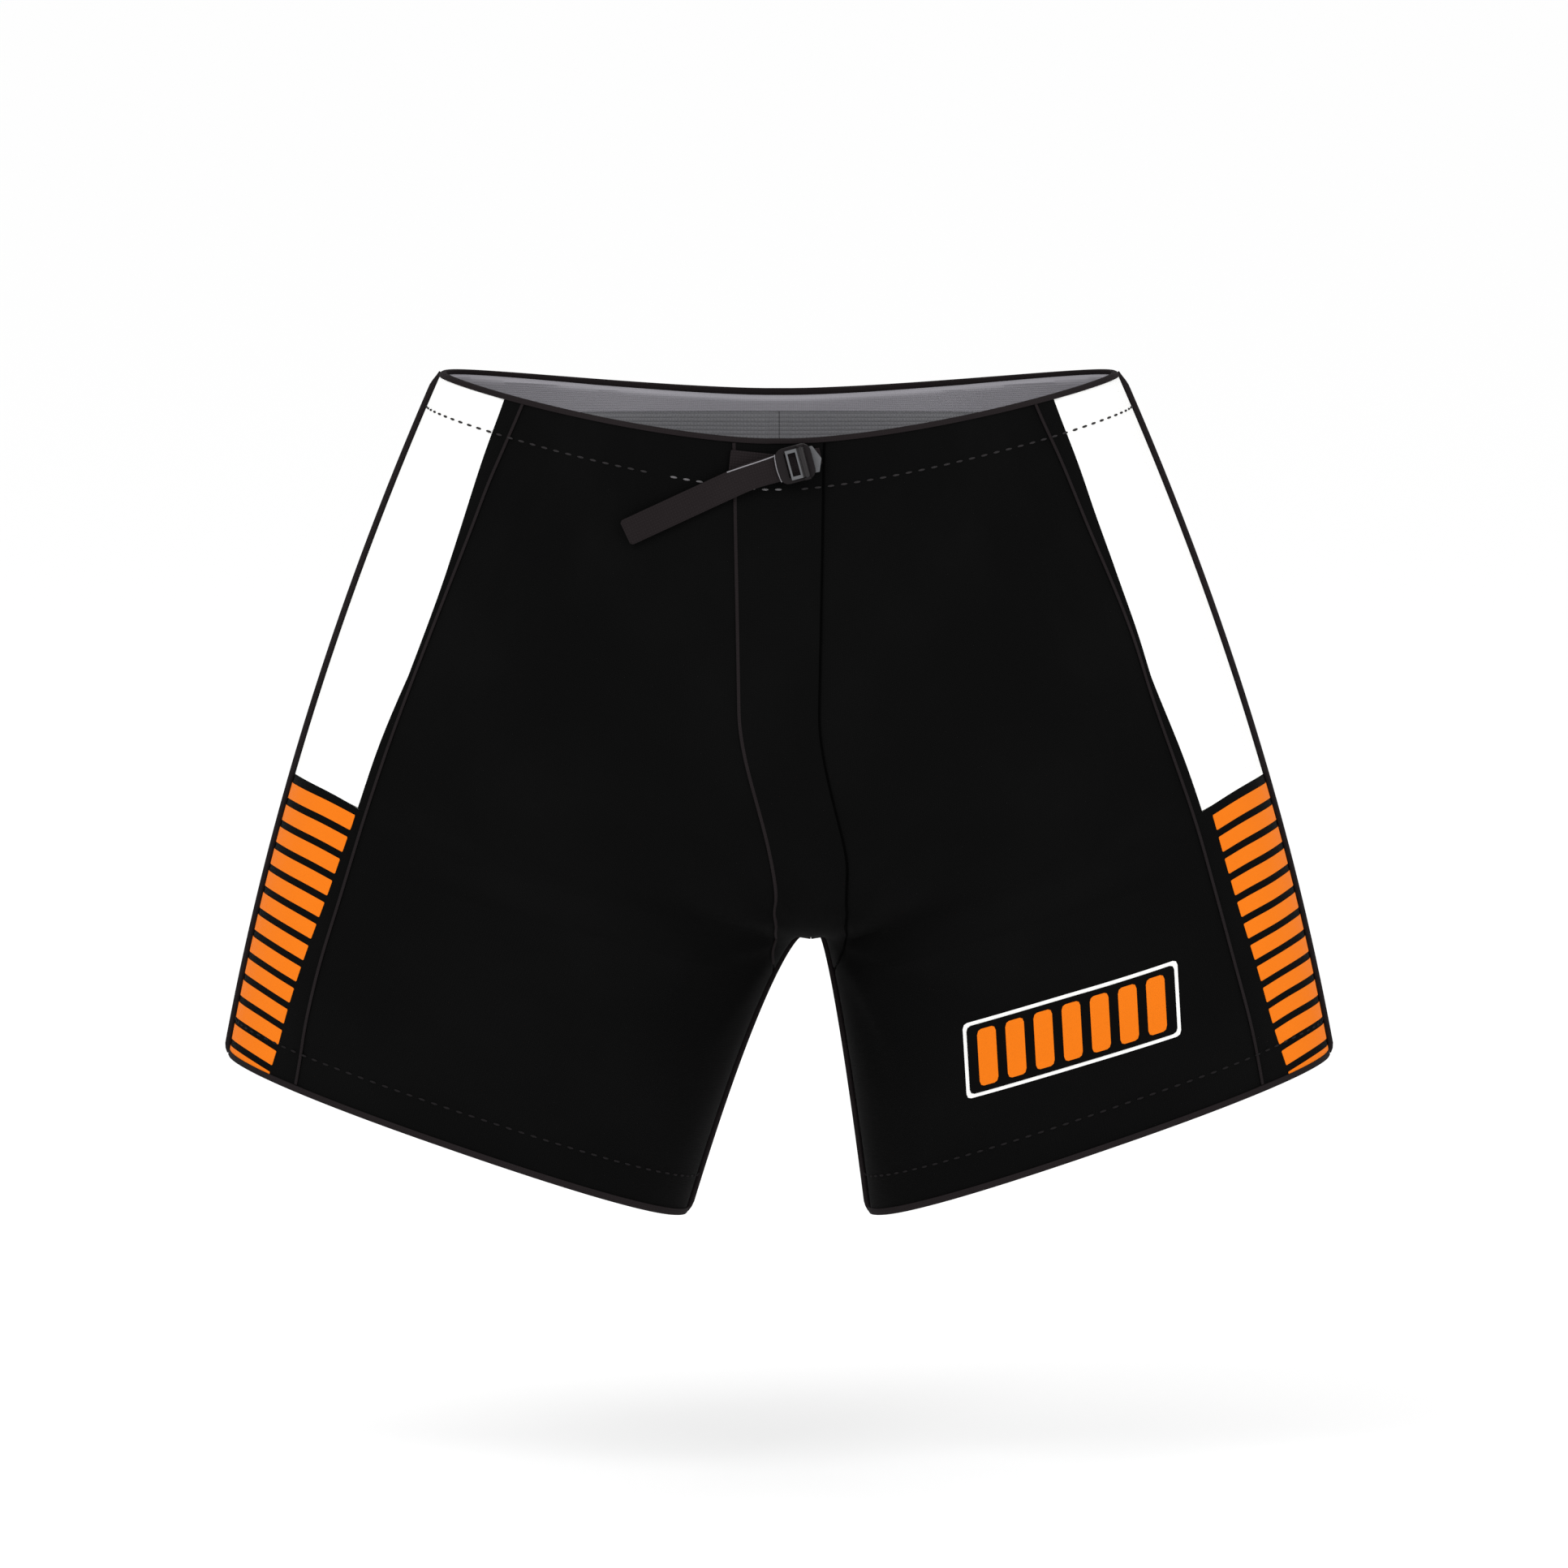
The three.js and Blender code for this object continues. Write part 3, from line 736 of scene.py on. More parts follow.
def smooth_step(nodes: Nodes, value: object, low: float, high: float) -> bpy.types.NodeSocket:
    """A smooth rise from 0 to 1 between two values."""
    node = nodes.add("ShaderNodeMapRange", interpolation_type="SMOOTHSTEP")
    nodes.feed(value, node.inputs["Value"])
    node.inputs["From Min"].default_value = low
    node.inputs["From Max"].default_value = high
    return node.outputs[0]


def finish_shader(
    nodes: Nodes,
    colour: bpy.types.NodeSocket,
    rough: bpy.types.NodeSocket,
    normal: bpy.types.NodeSocket,
    metallic: float,
    gloss: float,
    sheen: float,
) -> None:
    """Close a material with its surface shader.

    Args:
        nodes: the material's tree.
        colour: base colour.
        rough: roughness.
        normal: bumped normal.
        metallic: 0 or 1.
        gloss: specular level.
        sheen: weight of the cloth's sheen.
    """
    shader = nodes.add("ShaderNodeBsdfPrincipled")
    nodes.feed(colour, shader.inputs["Base Color"])
    nodes.feed(rough, shader.inputs["Roughness"])
    nodes.feed(normal, shader.inputs["Normal"])
    shader.inputs["Metallic"].default_value = metallic
    shader.inputs["Specular IOR Level"].default_value = gloss
    shader.inputs["Sheen Weight"].default_value = sheen
    shader.inputs["Sheen Roughness"].default_value = 0.5
    leave = nodes.add("ShaderNodeOutputMaterial")
    nodes.feed(shader.outputs[0], leave.inputs[0])


FINISHES: tuple[Union[ClothFinish, HardFinish], ...] = (
    ClothFinish("black_nylon", paint(7, 7, 7), paint(13, 13, 13), gloss=0.025),
    ClothFinish("black_thread", paint(1, 1, 1), paint(3, 3, 3), 0.0006, gloss=0.02),
    ClothFinish("white_nylon", paint(244, 244, 242), paint(250, 250, 250), gloss=0.2),
    ClothFinish("dark_tape", paint(28, 24, 25), paint(36, 32, 33), 0.0016, 0.0003, gloss=0.04),
    ClothFinish("dark_webbing", paint(28, 24, 25), paint(38, 34, 35), 0.0019, 0.0005, gloss=0.04),
    ClothFinish("grey_facing", paint(142, 140, 146), paint(156, 154, 160), 0.0014, 0.0003),
    ClothFinish("mesh_lining", paint(108, 108, 111), paint(126, 126, 129), 0.0024, 0.0006),
    ClothFinish("orange_film", paint(226, 113, 16), paint(233, 120, 24), 0.0011, 0.00008, 0.7, 0.05),
    ClothFinish("twill_white", paint(240, 240, 238), paint(252, 252, 250), 0.0009, 0.0003),
    ClothFinish("badge_orange", paint(226, 113, 16), paint(233, 120, 24), 0.0009, 0.0002, 0.7, 0.05),
    ClothFinish("grey_thread", paint(44, 42, 43), paint(54, 52, 53), 0.0006, gloss=0.04),
    ClothFinish("dim_thread", paint(30, 28, 29), paint(38, 36, 37), 0.0006, gloss=0.04),
    ClothFinish("pale_thread", paint(96, 94, 96), paint(120, 118, 120), 0.0006, gloss=0.1),
    # Pale grey for the painted highlight lines on the strap's edge and the buckle's mouth.
    ClothFinish("painted_highlight_line", paint(128, 126, 130), paint(150, 148, 152), 0.0006, gloss=0.1),
    HardFinish("foam_grey", paint(58, 62, 70), paint(70, 74, 82), 0.95, 0.0, 0.1, 0.0004),
    HardFinish("guard_white", paint(206, 206, 200), paint(218, 218, 214), 0.45),
    HardFinish("buckle_black", paint(23, 20, 21), paint(28, 25, 26), 0.5, 0.0, 0.08),
    HardFinish("buckle_grey", paint(80, 81, 83), paint(92, 93, 96), 0.42, 0.0, 0.3),
    HardFinish(
        "lever_grey", paint(80, 81, 83), paint(92, 93, 96), 0.42, 0.0, 0.3,
        beyond=BUCKLE.beyond(0.0032),
    ),
)


# ---- Sheets of the shell ----------------------------------------------------------------


@dataclass
class ClothPatch:
    """A sheet cut between two edges of the garment and two height shares."""

    name: str
    side: Side
    near: Edge
    far: Edge
    top: Union[float, Array] = 0.0055
    bottom: Union[float, Array] = 0.9935
    rows: int = 90
    cols: int = 60
    offset: Union[float, Edge] = 0.0
    pinch: float = 0.0009
    folds: float = 1.0

    def shares(self) -> tuple[Array, Array]:
        """Height shares and column shares of the grid."""
        down = np.linspace(0.0, 1.0, self.rows)[:, None]
        over = np.linspace(0.0, 1.0, self.cols)[None, :]
        top = np.broadcast_to(np.asarray(self.top, float), (self.cols,))
        bottom = np.broadcast_to(np.asarray(self.bottom, float), (self.cols,))
        return top * (1.0 - down) + bottom * down, over + 0.0 * down

    def points(self) -> Array:
        """The sheet's points, with its folds and pulled-in seams."""
        t, over = self.shares()
        angle = self.near(t) * (1.0 - over) + self.far(t) * over
        base = self.offset(t) if callable(self.offset) else np.full(t.shape, self.offset)
        plain = FORM.surface(self.side, angle, t, base)
        run = np.linalg.norm(np.diff(plain, axis=1), axis=-1)
        along = np.concatenate([np.zeros((self.rows, 1)), np.cumsum(run, axis=1)], axis=1)
        edge = np.minimum(along, along[:, -1:] - along)
        pull = self.pinch * np.exp(-((edge / 0.005) ** 2))
        shift = base + self.folds * drape(self.side, t, plain) + pull
        return FORM.surface(self.side, angle, t, shift)


def seam_angle(side: Side, shift: float = 0.0, face: Face = Face.FRONT) -> Edge:
    """Edge along the side seam, moved outward by a distance."""
    def edge(t: Array) -> Array:
        """Section angle of the edge."""
        x = FORM.seam_x(side, t) + side.value * shift
        return face.value * FORM.angle_at(side, t, x)

    return edge


def fly_angle(side: Side, shift: float = 0.0) -> Edge:
    """Edge along the fly seam, moved outward by a distance."""
    return lambda t: FORM.angle_at(side, t, FORM.fly_x(side, t) + side.value * shift)


def inner_angle(side: Side, face: Face = Face.FRONT, inset: float = 0.0) -> Edge:
    """Edge along the centre line and inner leg, moved outward by a distance."""
    def edge(t: Array) -> Array:
        """Section angle of the edge."""
        x = FORM.inner_x(side, t) + side.value * inset
        return face.value * FORM.angle_at(side, t, x)

    return edge


def level(degrees: float) -> Edge:
    """Edge at one section angle."""
    return lambda t: np.full(np.shape(t), math.radians(degrees))


def across_middle(
    name: str,
    outer: Callable[[Side], Edge],
    face: Face,
    **values: object,
) -> Array:
    """Points of a sheet that runs across the middle of the garment.

    Args:
        name: name of the piece.
        outer: the edge at which each side ends.
        face: front or back.
        values: further fields of each half's patch; top and bottom may be given per side.

    Returns:
        The grid, from the wearer's right to the left.
    """
    halves = []
    for side in (Side.RIGHT, Side.LEFT):
        ends = (outer(side), inner_angle(side, face))
        near, far = ends if side is Side.RIGHT else ends[::-1]
        halves.append(ClothPatch(name, side, near, far, **values).points())
    return np.concatenate(halves, axis=1)


def sew_sheet(
    name: str,
    points: Array,
    thickness: float,
    look: str,
    nodes: Sequence[str],
    drop: Optional[Array] = None,
    centre: Optional[Array] = None,
    closed: bool = False,
) -> bpy.types.Object:
    """Make, thicken and dress one sheet of cloth.

    Args:
        name: name of the piece.
        points: its grid.
        thickness: of the cloth.
        look: name of its material.
        nodes: CAD nodes that it stands for.
        drop: faces to leave out.
        centre: a point behind the sheet.
        closed: whether its two ends meet.

    Returns:
        The finished piece.
    """
    keep = None if drop is None else ~drop
    cut = Cut.of(points, keep)
    obj = grid_object(name, points, drop, closed=closed)
    face_away(obj, np.zeros(3) if centre is None else centre)
    thicken(obj, thickness)
    shade(obj, 50.0)
    place(obj, look, nodes)
    flat = cut.width * cut.length
    min(max(cut.area, 0.31 * flat), flat)
    return obj


def leg_centre(side: Side) -> Array:
    """A point inside one leg, to turn cloth away from."""
    return np.array([side.value * 0.17, 0.0, -0.25])


@dataclass
class Shell:
    """The outer shell: front, fly, side and back panels."""

    cloth: float = 0.0012
    strip_wide: float = 0.012
    strip_ends: float = 0.40
    strip_flare: float = 0.0056
    flare_from: float = 0.24
    flare_run: float = 0.30

    def build(self) -> None:
        """Make every panel."""
        for side in Side:
            self.front(side)
            self.back(side)
            self.flank(side)
        self.fly()

    def front(self, side: Side) -> None:
        """One front panel, from the fly to the side seam."""
        name = f"front_panel_{side.label}"
        patch = ClothPatch(name, side, fly_angle(side, SEAM_GAP), seam_angle(side, -SEAM_GAP))
        patch.rows, patch.cols = 150, 84
        self.keep(name, patch.points(), "black_nylon", "black_cloth", side)

    def back(self, side: Side) -> None:
        """One back panel, from the centre to the back side seam."""
        name = f"back_panel_{side.label}"
        near = inner_angle(side, Face.BACK)
        patch = ClothPatch(name, side, near, seam_angle(side, -SEAM_GAP, Face.BACK))
        patch.rows, patch.cols = 130, 80
        points = patch.points()
        t, _ = patch.shares()
        middle = points[:, :1].copy()
        middle[:, 0, 0] = FORM.inner_x(side, t[:, 0]) - side.value * (FORM.bridge - SEAM_GAP)
        points = np.concatenate([middle, points], axis=1)
        drop = np.zeros((patch.rows - 1, patch.cols), bool)
        drop[:, 0] = t[1:, 0] > FORM.crotch_t + 0.002
        self.keep(name, points, "black_nylon", "black_cloth", side, drop)

    def strip(self, side: Side) -> Edge:
        """Front edge of the white cloth, beside the seam at the top."""
        def edge(t: Array) -> Array:
            """Section angle of the edge."""
            wide = self.strip_wide * (1.0 - np.clip(t / self.strip_ends, 0.0, 1.0))
            wide = wide + self.strip_flare * smooth((t - self.flare_from) / self.flare_run)
            x = FORM.seam_x(side, t) + side.value * (wide + 0.0006)
            return FORM.angle_at(side, t, x)

        return edge

    @staticmethod
    def join(near: Edge, far: Edge, cols: int) -> Array:
        """Where the side-panel join crosses the columns of a sheet.

        Args:
            near: the sheet's front edge on the left side.
            far: its other edge.
            cols: number of columns.

        Returns:
            One height share for each column, the back ones mirrored to the front.
        """
        over = np.linspace(0.0, 1.0, cols)
        angles = lambda t: np.abs(near(t) * (1.0 - over) + far(t) * over) + 1e-6
        return FORM.slant_share(angles, cols, 0.0)

    def flank(self, side: Side) -> None:
        """The white upper side, its narrow black strip and the black lower side."""
        label = side.label
        front, back = self.strip(side), seam_angle(side, SEAM_GAP, Face.BACK)
        seam = seam_angle(side, SEAM_GAP)
        left_front, left_seam = self.strip(Side.LEFT), seam_angle(Side.LEFT, SEAM_GAP)
        left_back = seam_angle(Side.LEFT, SEAM_GAP, Face.BACK)
        low = self.join(left_front, left_back, 56) - 0.0004
        upper = ClothPatch(f"side_upper_{label}", side, front, back, bottom=low)
        upper.rows, upper.cols = 80, 56
        self.keep(upper.name, upper.points(), "white_nylon", "white_cloth", side)
        low = self.join(left_seam, left_front, 8) + 0.0003
        strip = ClothPatch(f"side_strip_{label}", side, seam, front, bottom=low)
        strip.rows, strip.cols, strip.pinch = 90, 8, 0.0004
        self.keep(strip.name, strip.points(), "black_nylon", "black_cloth", side, nodes=())
        high = self.join(left_seam, left_back, 56) + 0.0004
        lower = ClothPatch(f"side_lower_{label}", side, seam, back, top=high)
        lower.rows, lower.cols = 70, 56
        self.keep(lower.name, lower.points(), "black_nylon", "black_cloth", side)

    def fly(self) -> None:
        """The centre panel, split where the legs part."""
        cols, rows, top = 14, 90, 0.0055
        end = FORM.crotch_t + 0.92 * (FORM.gusset_t - FORM.crotch_t)
        size = {"rows": rows, "cols": cols, "top": top, "bottom": end, "pinch": 0.0}
        edge = lambda side: fly_angle(side, -SEAM_GAP)
        points = across_middle("fly_panel", edge, Face.FRONT, **size)
        t = np.linspace(top, end, rows)
        drop = np.zeros((rows - 1, 2 * cols - 1), bool)
        drop[:, cols - 1] = t[1:] > FORM.crotch_t + 0.002
        self.keep("fly_panel", points, "black_nylon", "black_cloth", Side.LEFT, drop)

    def keep(
        self,
        name: str,
        points: Array,
        look: str,
        slot: str,
        side: Side,
        drop: Optional[Array] = None,
        nodes: Optional[Sequence[str]] = None,
    ) -> None:
        """Finish one panel.

        Args:
            name: name of the panel, and of its CAD node.
            points: its grid.
            look: name of its material.
            slot: the record's slot; not used.
            side: the side it belongs to.
            drop: faces to leave out.
            nodes: CAD nodes that it stands for, if not the one of its own name.
        """
        stands = [name] if nodes is None else list(nodes)
        centre = leg_centre(side) if name != "fly_panel" else np.array([0.0, 0.0, -0.2])
        sew_sheet(
            f"{name}_cloth", points, self.cloth, look, stands,
            drop, centre,
        )


# ---- Edges: bindings, piping and seam lines ---------------------------------------------


def solid_grid(name: str, points: Array, degrees: float = 50.0) -> bpy.types.Object:
    """A closed piece whose grid folds back on itself.

    Args:
        name: name of the piece.
        points: rows and columns that meet along the piece's edges.
        degrees: the angle above which an edge stays sharp.

    Returns:
        The new object, closed and with its faces outward.
    """
    obj = grid_object(name, points, closed=True)
    edit_all(obj, outward)
    shade(obj, degrees)
    return obj


def cord_grid(
    path: Array, out: Array, wide: float, deep: float, ring: int = 10, closed: bool = False
) -> Array:
    """Rows of rings along a path.

    Args:
        path: points of the middle line.
        out: outward direction at each point.
        wide: half width across the outward direction.
        deep: half depth along it.
        ring: points round the cord.
        closed: whether the path returns to its start.

    Returns:
        The cord's grid, with its ends drawn to points unless it is closed.
    """
    if closed:
        padded = np.concatenate([path[-2:-1], path, path[1:2]])
        tangent = padded[2:] - padded[:-2]
    else:
        tangent = np.gradient(path, axis=0)
    tangent = tangent / np.linalg.norm(tangent, axis=1, keepdims=True)
    cross = np.cross(tangent, out)
    cross = cross / np.linalg.norm(cross, axis=1, keepdims=True)
    rise = np.cross(cross, tangent)
    turn = np.linspace(0.0, 2.0 * math.pi, ring + 1)[None, :, None]
    rows = path[:, None] + wide * np.cos(turn) * cross[:, None] + deep * np.sin(turn) * rise[:, None]
    if closed:
        return rows
    ends = [np.repeat(path[index][None, None], ring + 1, axis=1) for index in (0, -1)]
    return np.concatenate([ends[0], rows, ends[1]], axis=0)


@dataclass
class Binding:
    """A folded tape that closes the cloth's edge at the waist or round a leg."""

    reach: float = 0.0026
    inner_reach: float = 0.0038
    outside: float = -0.0010
    inside: float = 0.0032
    stations: int = 120
    slope: float = 0.47

    def profile(self) -> Array:
        """Distance past the edge and offset inward, round the tape's section."""
        near, far = self.outside, self.inside
        rim, low, deep = 0.0008, -self.reach, -self.inner_reach
        return np.array(
            [
                (low, near + 0.0003), (low + 0.0003, near), (-rim, near), (-0.0001, near + 0.0004),
                (0.0004, near + 0.0013), (0.0005, (near + far) / 2.0), (0.0004, far - 0.0011),
                (-0.0001, far - 0.0004), (-rim, far), (deep + 0.0003, far), (deep, far - 0.0003),
                (low + 0.0002, (near + far) / 2.0), (low, near + 0.0003),
            ]
        )

    def half(self, side: Side, edge: float, sign: float, turn: Array) -> Array:
        """Stations round one side.

        Args:
            side: the side.
            edge: height share of the cloth's edge.
            sign: 1 at the hem and -1 at the waist.
            turn: from 0 at the front's inner end to 1 at the back's.

        Returns:
            Rows of stations by columns of the tape's section.
        """
        past, offset = self.profile().T
        t = np.broadcast_to(edge + sign * past / self.slope, (len(turn), len(past)))
        angle = inner_angle(side)(t) * (1.0 - 2.0 * turn[:, None])
        return FORM.surface(side, angle, t, np.broadcast_to(offset, t.shape))

    def waist(self) -> None:
        """The tape round the waist."""
        turn = np.linspace(0.0, 1.0, self.stations)
        left = self.half(Side.LEFT, 0.0, -1.0, turn)
        right = self.half(Side.RIGHT, 0.0, -1.0, turn[::-1])
        rows = np.concatenate([left, right, left[:1]])
        obj = solid_grid("waist_binding_tape", rows)
        place(obj, "dark_tape", ["waist_binding"])

    def hem(self, side: Side) -> None:
        """The tape round one leg opening."""
        turn = np.linspace(0.0, 1.0, self.stations)
        rows = self.half(side, 1.0, 1.0, turn)
        rows[-1] = rows[0]
        obj = solid_grid(f"hem_binding_tape_{side.label}", rows)
        place(obj, "dark_tape", [f"hem_binding_{side.label}"])


@dataclass
class Piping:
    """Cords along the outer sides, the inner legs and the seams."""

    outer_wide: float = 0.0024
    outer_deep: float = 0.0023
    inner_wide: float = 0.0024
    inner_deep: float = 0.0021
    seam_wide: float = 0.00125
    seam_deep: float = 0.0008

    def outseam(self, side: Side) -> None:
        """The cord down one outer side."""
        t = np.linspace(0.002, 0.997, 160)
        zero = np.zeros_like(t)
        out = 0.0005 - 0.0026 * smooth(t / 0.022) * smooth((1.0 - t) / 0.014)
        path = FORM.surface(side, zero, t, out)
        path[:, 1] = 0.0
        out = np.tile([float(side.value), 0.0, 0.0], (len(t), 1))
        rows = cord_grid(path, out, self.outer_wide, self.outer_deep, 12)
        obj = solid_grid(f"outseam_cord_{side.label}", rows)
        place(obj, "dark_tape", [f"outseam_piping_{side.label}"])

    def inseam(self, side: Side) -> None:
        """The cord from the crotch down one inner leg."""
        t = FORM.crotch_t + (0.997 - FORM.crotch_t) * np.linspace(0.0, 1.0, 90) ** 1.5
        x = FORM.inner_x(side, t) + side.value * (0.0008 - 0.0021 * smooth((1.0 - t) / 0.014))
        z = FORM.ring_z(side, t, x, np.zeros_like(t, bool))[0]
        leg = np.stack([x, np.zeros_like(t), z], axis=-1)
        top = np.array([[FORM.crotch_shift, 0.0, FORM.crotch_z - 0.0012]])
        path = np.concatenate([top, leg])
        out = np.tile([-0.9 * side.value, 0.0, -0.43], (len(path), 1))
        rows = cord_grid(path, out, self.inner_wide, self.inner_deep, 12)
        obj = solid_grid(f"inseam_cord_{side.label}", rows)
        place(obj, "dark_tape", [f"inseam_piping_{side.label}"])

    def seam(self, name: str, side: Side, edge: Edge, ends: tuple[float, float], look: str) -> None:
        """A low cord over one seam.

        Args:
            name: name of the piece.
            side: the side of the garment.
            edge: the seam's section angle.
            ends: height shares at its two ends.
            look: name of its material.
        """
        t = np.linspace(ends[0], ends[1], 130)
        angle = edge(t)
        path = draped(side, angle, t, np.full_like(t, 0.0003))
        out = path - draped(side, angle, t, np.full_like(t, 0.0023))
        out = out / np.maximum(np.linalg.norm(out, axis=1, keepdims=True), 1e-9)
        wide = self.seam_wide if look == "dark_tape" else 0.0008
        rows = cord_grid(path, out, wide, self.seam_deep, 8)
        place(solid_grid(name, rows), look)

    def build(self) -> None:
        """Every cord."""
        for side in Side:
            label = side.label
            self.outseam(side)
            self.inseam(side)
            self.seam(f"side_seam_{label}", side, seam_angle(side), (0.006, 0.99), "dark_tape")
            back = seam_angle(side, 0.0, Face.BACK)
            self.seam(f"back_side_seam_{label}", side, back, (0.006, 0.99), "dark_tape")
            look = "black_thread" if side is Side.LEFT else "dark_tape"
            self.seam(f"fly_seam_{label}", side, fly_angle(side), (0.0065, 0.655), look)
        seat = inner_angle(Side.LEFT, Face.BACK)
        self.seam("centre_back_seam", Side.LEFT, seat, (0.006, 0.615), "dark_tape")


# ---- Stitching --------------------------------------------------------------------------


@dataclass(frozen=True)
class ThreadRow:
    """A row of running stitches."""

    name: str
    look: str = "grey_thread"
    pitch: float = 0.0088
    dash: float = 0.0047
    thick: float = 0.00078

    def sew(self, path: Array) -> None:
        """Lay the stitches along a path.

        Args:
            path: points on the cloth's face.
        """
        length = float(np.linalg.norm(np.diff(path, axis=0), axis=1).sum())
        count = max(1, int(length / self.pitch))
        curve = bpy.data.curves.new(f"{self.name}_path", "CURVE")
        curve.dimensions = "3D"
        curve.twist_mode = "Z_UP"
        spline = curve.splines.new("POLY")
        spline.points.add(len(path) - 1)
        flat = np.concatenate([path, np.ones((len(path), 1))], axis=1)
        spline.points.foreach_set("co", flat.astype(np.float32).ravel())
        guide = bpy.data.objects.new(f"{self.name}_path", curve)
        bpy.context.collection.objects.link(guide)
        bpy.ops.object.select_all(action="DESELECT")
        bpy.ops.mesh.primitive_uv_sphere_add(segments=8, ring_count=6, radius=1.0)
        obj = bpy.context.active_object
        obj.name = obj.data.name = self.name
        half, thick = self.dash / 2.0, self.thick
        edit_all(
            obj,
            lambda: bpy.ops.transform.rotate(value=math.pi / 2.0, orient_axis="Y"),
            lambda: bpy.ops.transform.resize(value=(half, thick, thick)),
            lambda: bpy.ops.transform.translate(value=(half, 0.0, 0.0)),
        )
        array = obj.modifiers.new("row", "ARRAY")
        array.count = count
        array.use_relative_offset = False
        array.use_constant_offset = True
        array.constant_offset_displace = (self.pitch, 0.0, 0.0)
        bend = obj.modifiers.new("lie", "CURVE")
        bend.object = guide
        bend.deform_axis = "POS_X"
        apply_modifiers(obj)
        bpy.data.objects.remove(guide, do_unlink=True)
        shade(obj, 70.0)
        place(obj, self.look)


@dataclass
class Stitching:
    """The visible rows at the waist and the hems."""

    proud: float = -0.0002
    waist_side: float = 0.050
    waist_front: float = 0.060
    hem_drop: float = 0.054
    pale_from: float = -0.075
    pale_to: float = 0.012

    def waist_half(self, side: Side, turn: Array) -> Array:
        """The waist row's points round one side, from the front's middle to the back's."""
        bulge = np.abs(1.0 - 2.0 * turn) ** 2
        t = self.waist_side + (self.waist_front - self.waist_side) * bulge
        return draped(side, inner_angle(side)(t) * (1.0 - 2.0 * turn), t, self.proud + 0.0 * t)

    def hem_half(self, side: Side, turn: Array) -> Array:
        """The hem row's points round one leg."""
        t = np.full_like(turn, 1.0 - self.hem_drop)
        return draped(side, inner_angle(side)(t) * (1.0 - 2.0 * turn), t, self.proud + 0.0 * t)

    def build(self) -> None:
        """Every row."""
        turn = np.linspace(0.0, 1.0, 220)
        left = self.waist_half(Side.LEFT, turn)
        right = self.waist_half(Side.RIGHT, turn[::-1])
        near = (left[:, 1] < 0.0) & (left[:, 0] < self.pale_to)
        far = (right[:, 1] < 0.0) & (right[:, 0] > self.pale_from)
        ThreadRow("waist_stitches").sew(np.concatenate([left[~near], right[~far]]))
        pale = ThreadRow("waist_stitches_pale", "pale_thread")
        pale.sew(np.concatenate([right[far], left[near]]))
        for side in Side:
            rows = self.hem_half(side, np.linspace(0.004, 0.996, 220))
            ThreadRow(f"hem_stitches_{side.label}", "dim_thread").sew(rows)


# ---- Bars, badge and sewn webbing -------------------------------------------------------


@dataclass
class SideBars:
    """Slanted bars of raised film on the lower sides."""

    count: int = 13
    first: float = 0.0057
    pitch: float = 0.0149
    tall: float = 0.0102
    corner: float = 0.0005
    film: float = 0.00035
    end_x: float = 0.2916
    end_z: float = -0.2728
    end_run: float = 0.297
    cols: int = 44

    def end_angle(self, t: Array) -> Array:
        """Section angle of the bars' ends."""
        x = np.full(t.shape, 0.32)
        for _ in range(14):
            angle = FORM.angle_at(Side.LEFT, t, x)
            _, y, z = np.moveaxis(FORM.surface(Side.LEFT, angle, t, 0.0 * t), -1, 0)
            x = self.end_x + self.end_run * (self.end_z - z + FORM.split_lift * np.abs(y))
        return FORM.angle_at(Side.LEFT, t, x)

    def bar(self, side: Side, index: int) -> tuple[Array, Array]:
        """One bar's grid and the share of it left above the hem.

        Args:
            side: the side of the garment.
            index: number of the bar from the top.

        Returns:
            The grid, and a mask of the faces that are kept.
        """
        inside = np.linspace(-1.0, 1.0, self.cols - 2)
        over = np.concatenate([[-1.0], inside * 0.994, [1.0]])
        top = self.first + self.pitch * index
        rows = []
        for part in (0.0, 0.33, 0.67, 1.0):
            inset = np.where(np.abs(over) == 1.0, self.corner, 0.0)
            drop = top + inset + (self.tall - 2.0 * inset) * part
            angles = lambda t: np.abs(over) * self.end_angle(t) + 1e-6
            rows.append(FORM.slant_share(angles, self.cols, drop))
        t = np.minimum(np.stack(rows), 0.9925)
        angle = over[None] * self.end_angle(t)
        points = draped(side, angle, t, np.full(t.shape, -self.film))
        keep = (t[1:, 1:] - t[:-1, 1:] > 1e-5) | (t[1:, :-1] - t[:-1, :-1] > 1e-5)
        return points, keep

    def build(self, side: Side) -> None:
        """All bars of one side, as one film."""
        bars, wide, area = [], 0.0, 0.0
        for index in range(self.count):
            points, keep = self.bar(side, index)
            cut = Cut.of(points, keep)
            wide, area = max(wide, cut.width), area + cut.area
            bars.append(grid_object(f"side_bar_{side.label}_{index}", points, ~keep))
            face_away(bars[-1], leg_centre(side))
        obj = join_all(bars, f"side_bars_{side.label}")
        edit_all(obj, merge_close(2e-5))
        thicken(obj, self.film * 0.8)
        shade(obj, 50.0)
        place(obj, "orange_film")


def front_points(x: Array, z: Array, offset: float) -> Array:
    """Points on the draped front, by where they lie seen from the front."""
    points = np.zeros(x.shape + (3,))
    for side in Side:
        own = (x < 0.0) == (side is Side.RIGHT)
        t = FORM.share_at(side, x, z, Face.FRONT)
        reach = side.value * np.maximum(side.value * x, side.value * FORM.inner_x(side, t))
        angle = FORM.angle_at(side, t, reach)
        face = draped(side, angle, t, np.full(t.shape, offset))
        points = np.where(own[..., None], np.stack([x, face[..., 1], z], axis=-1), points)
    return points


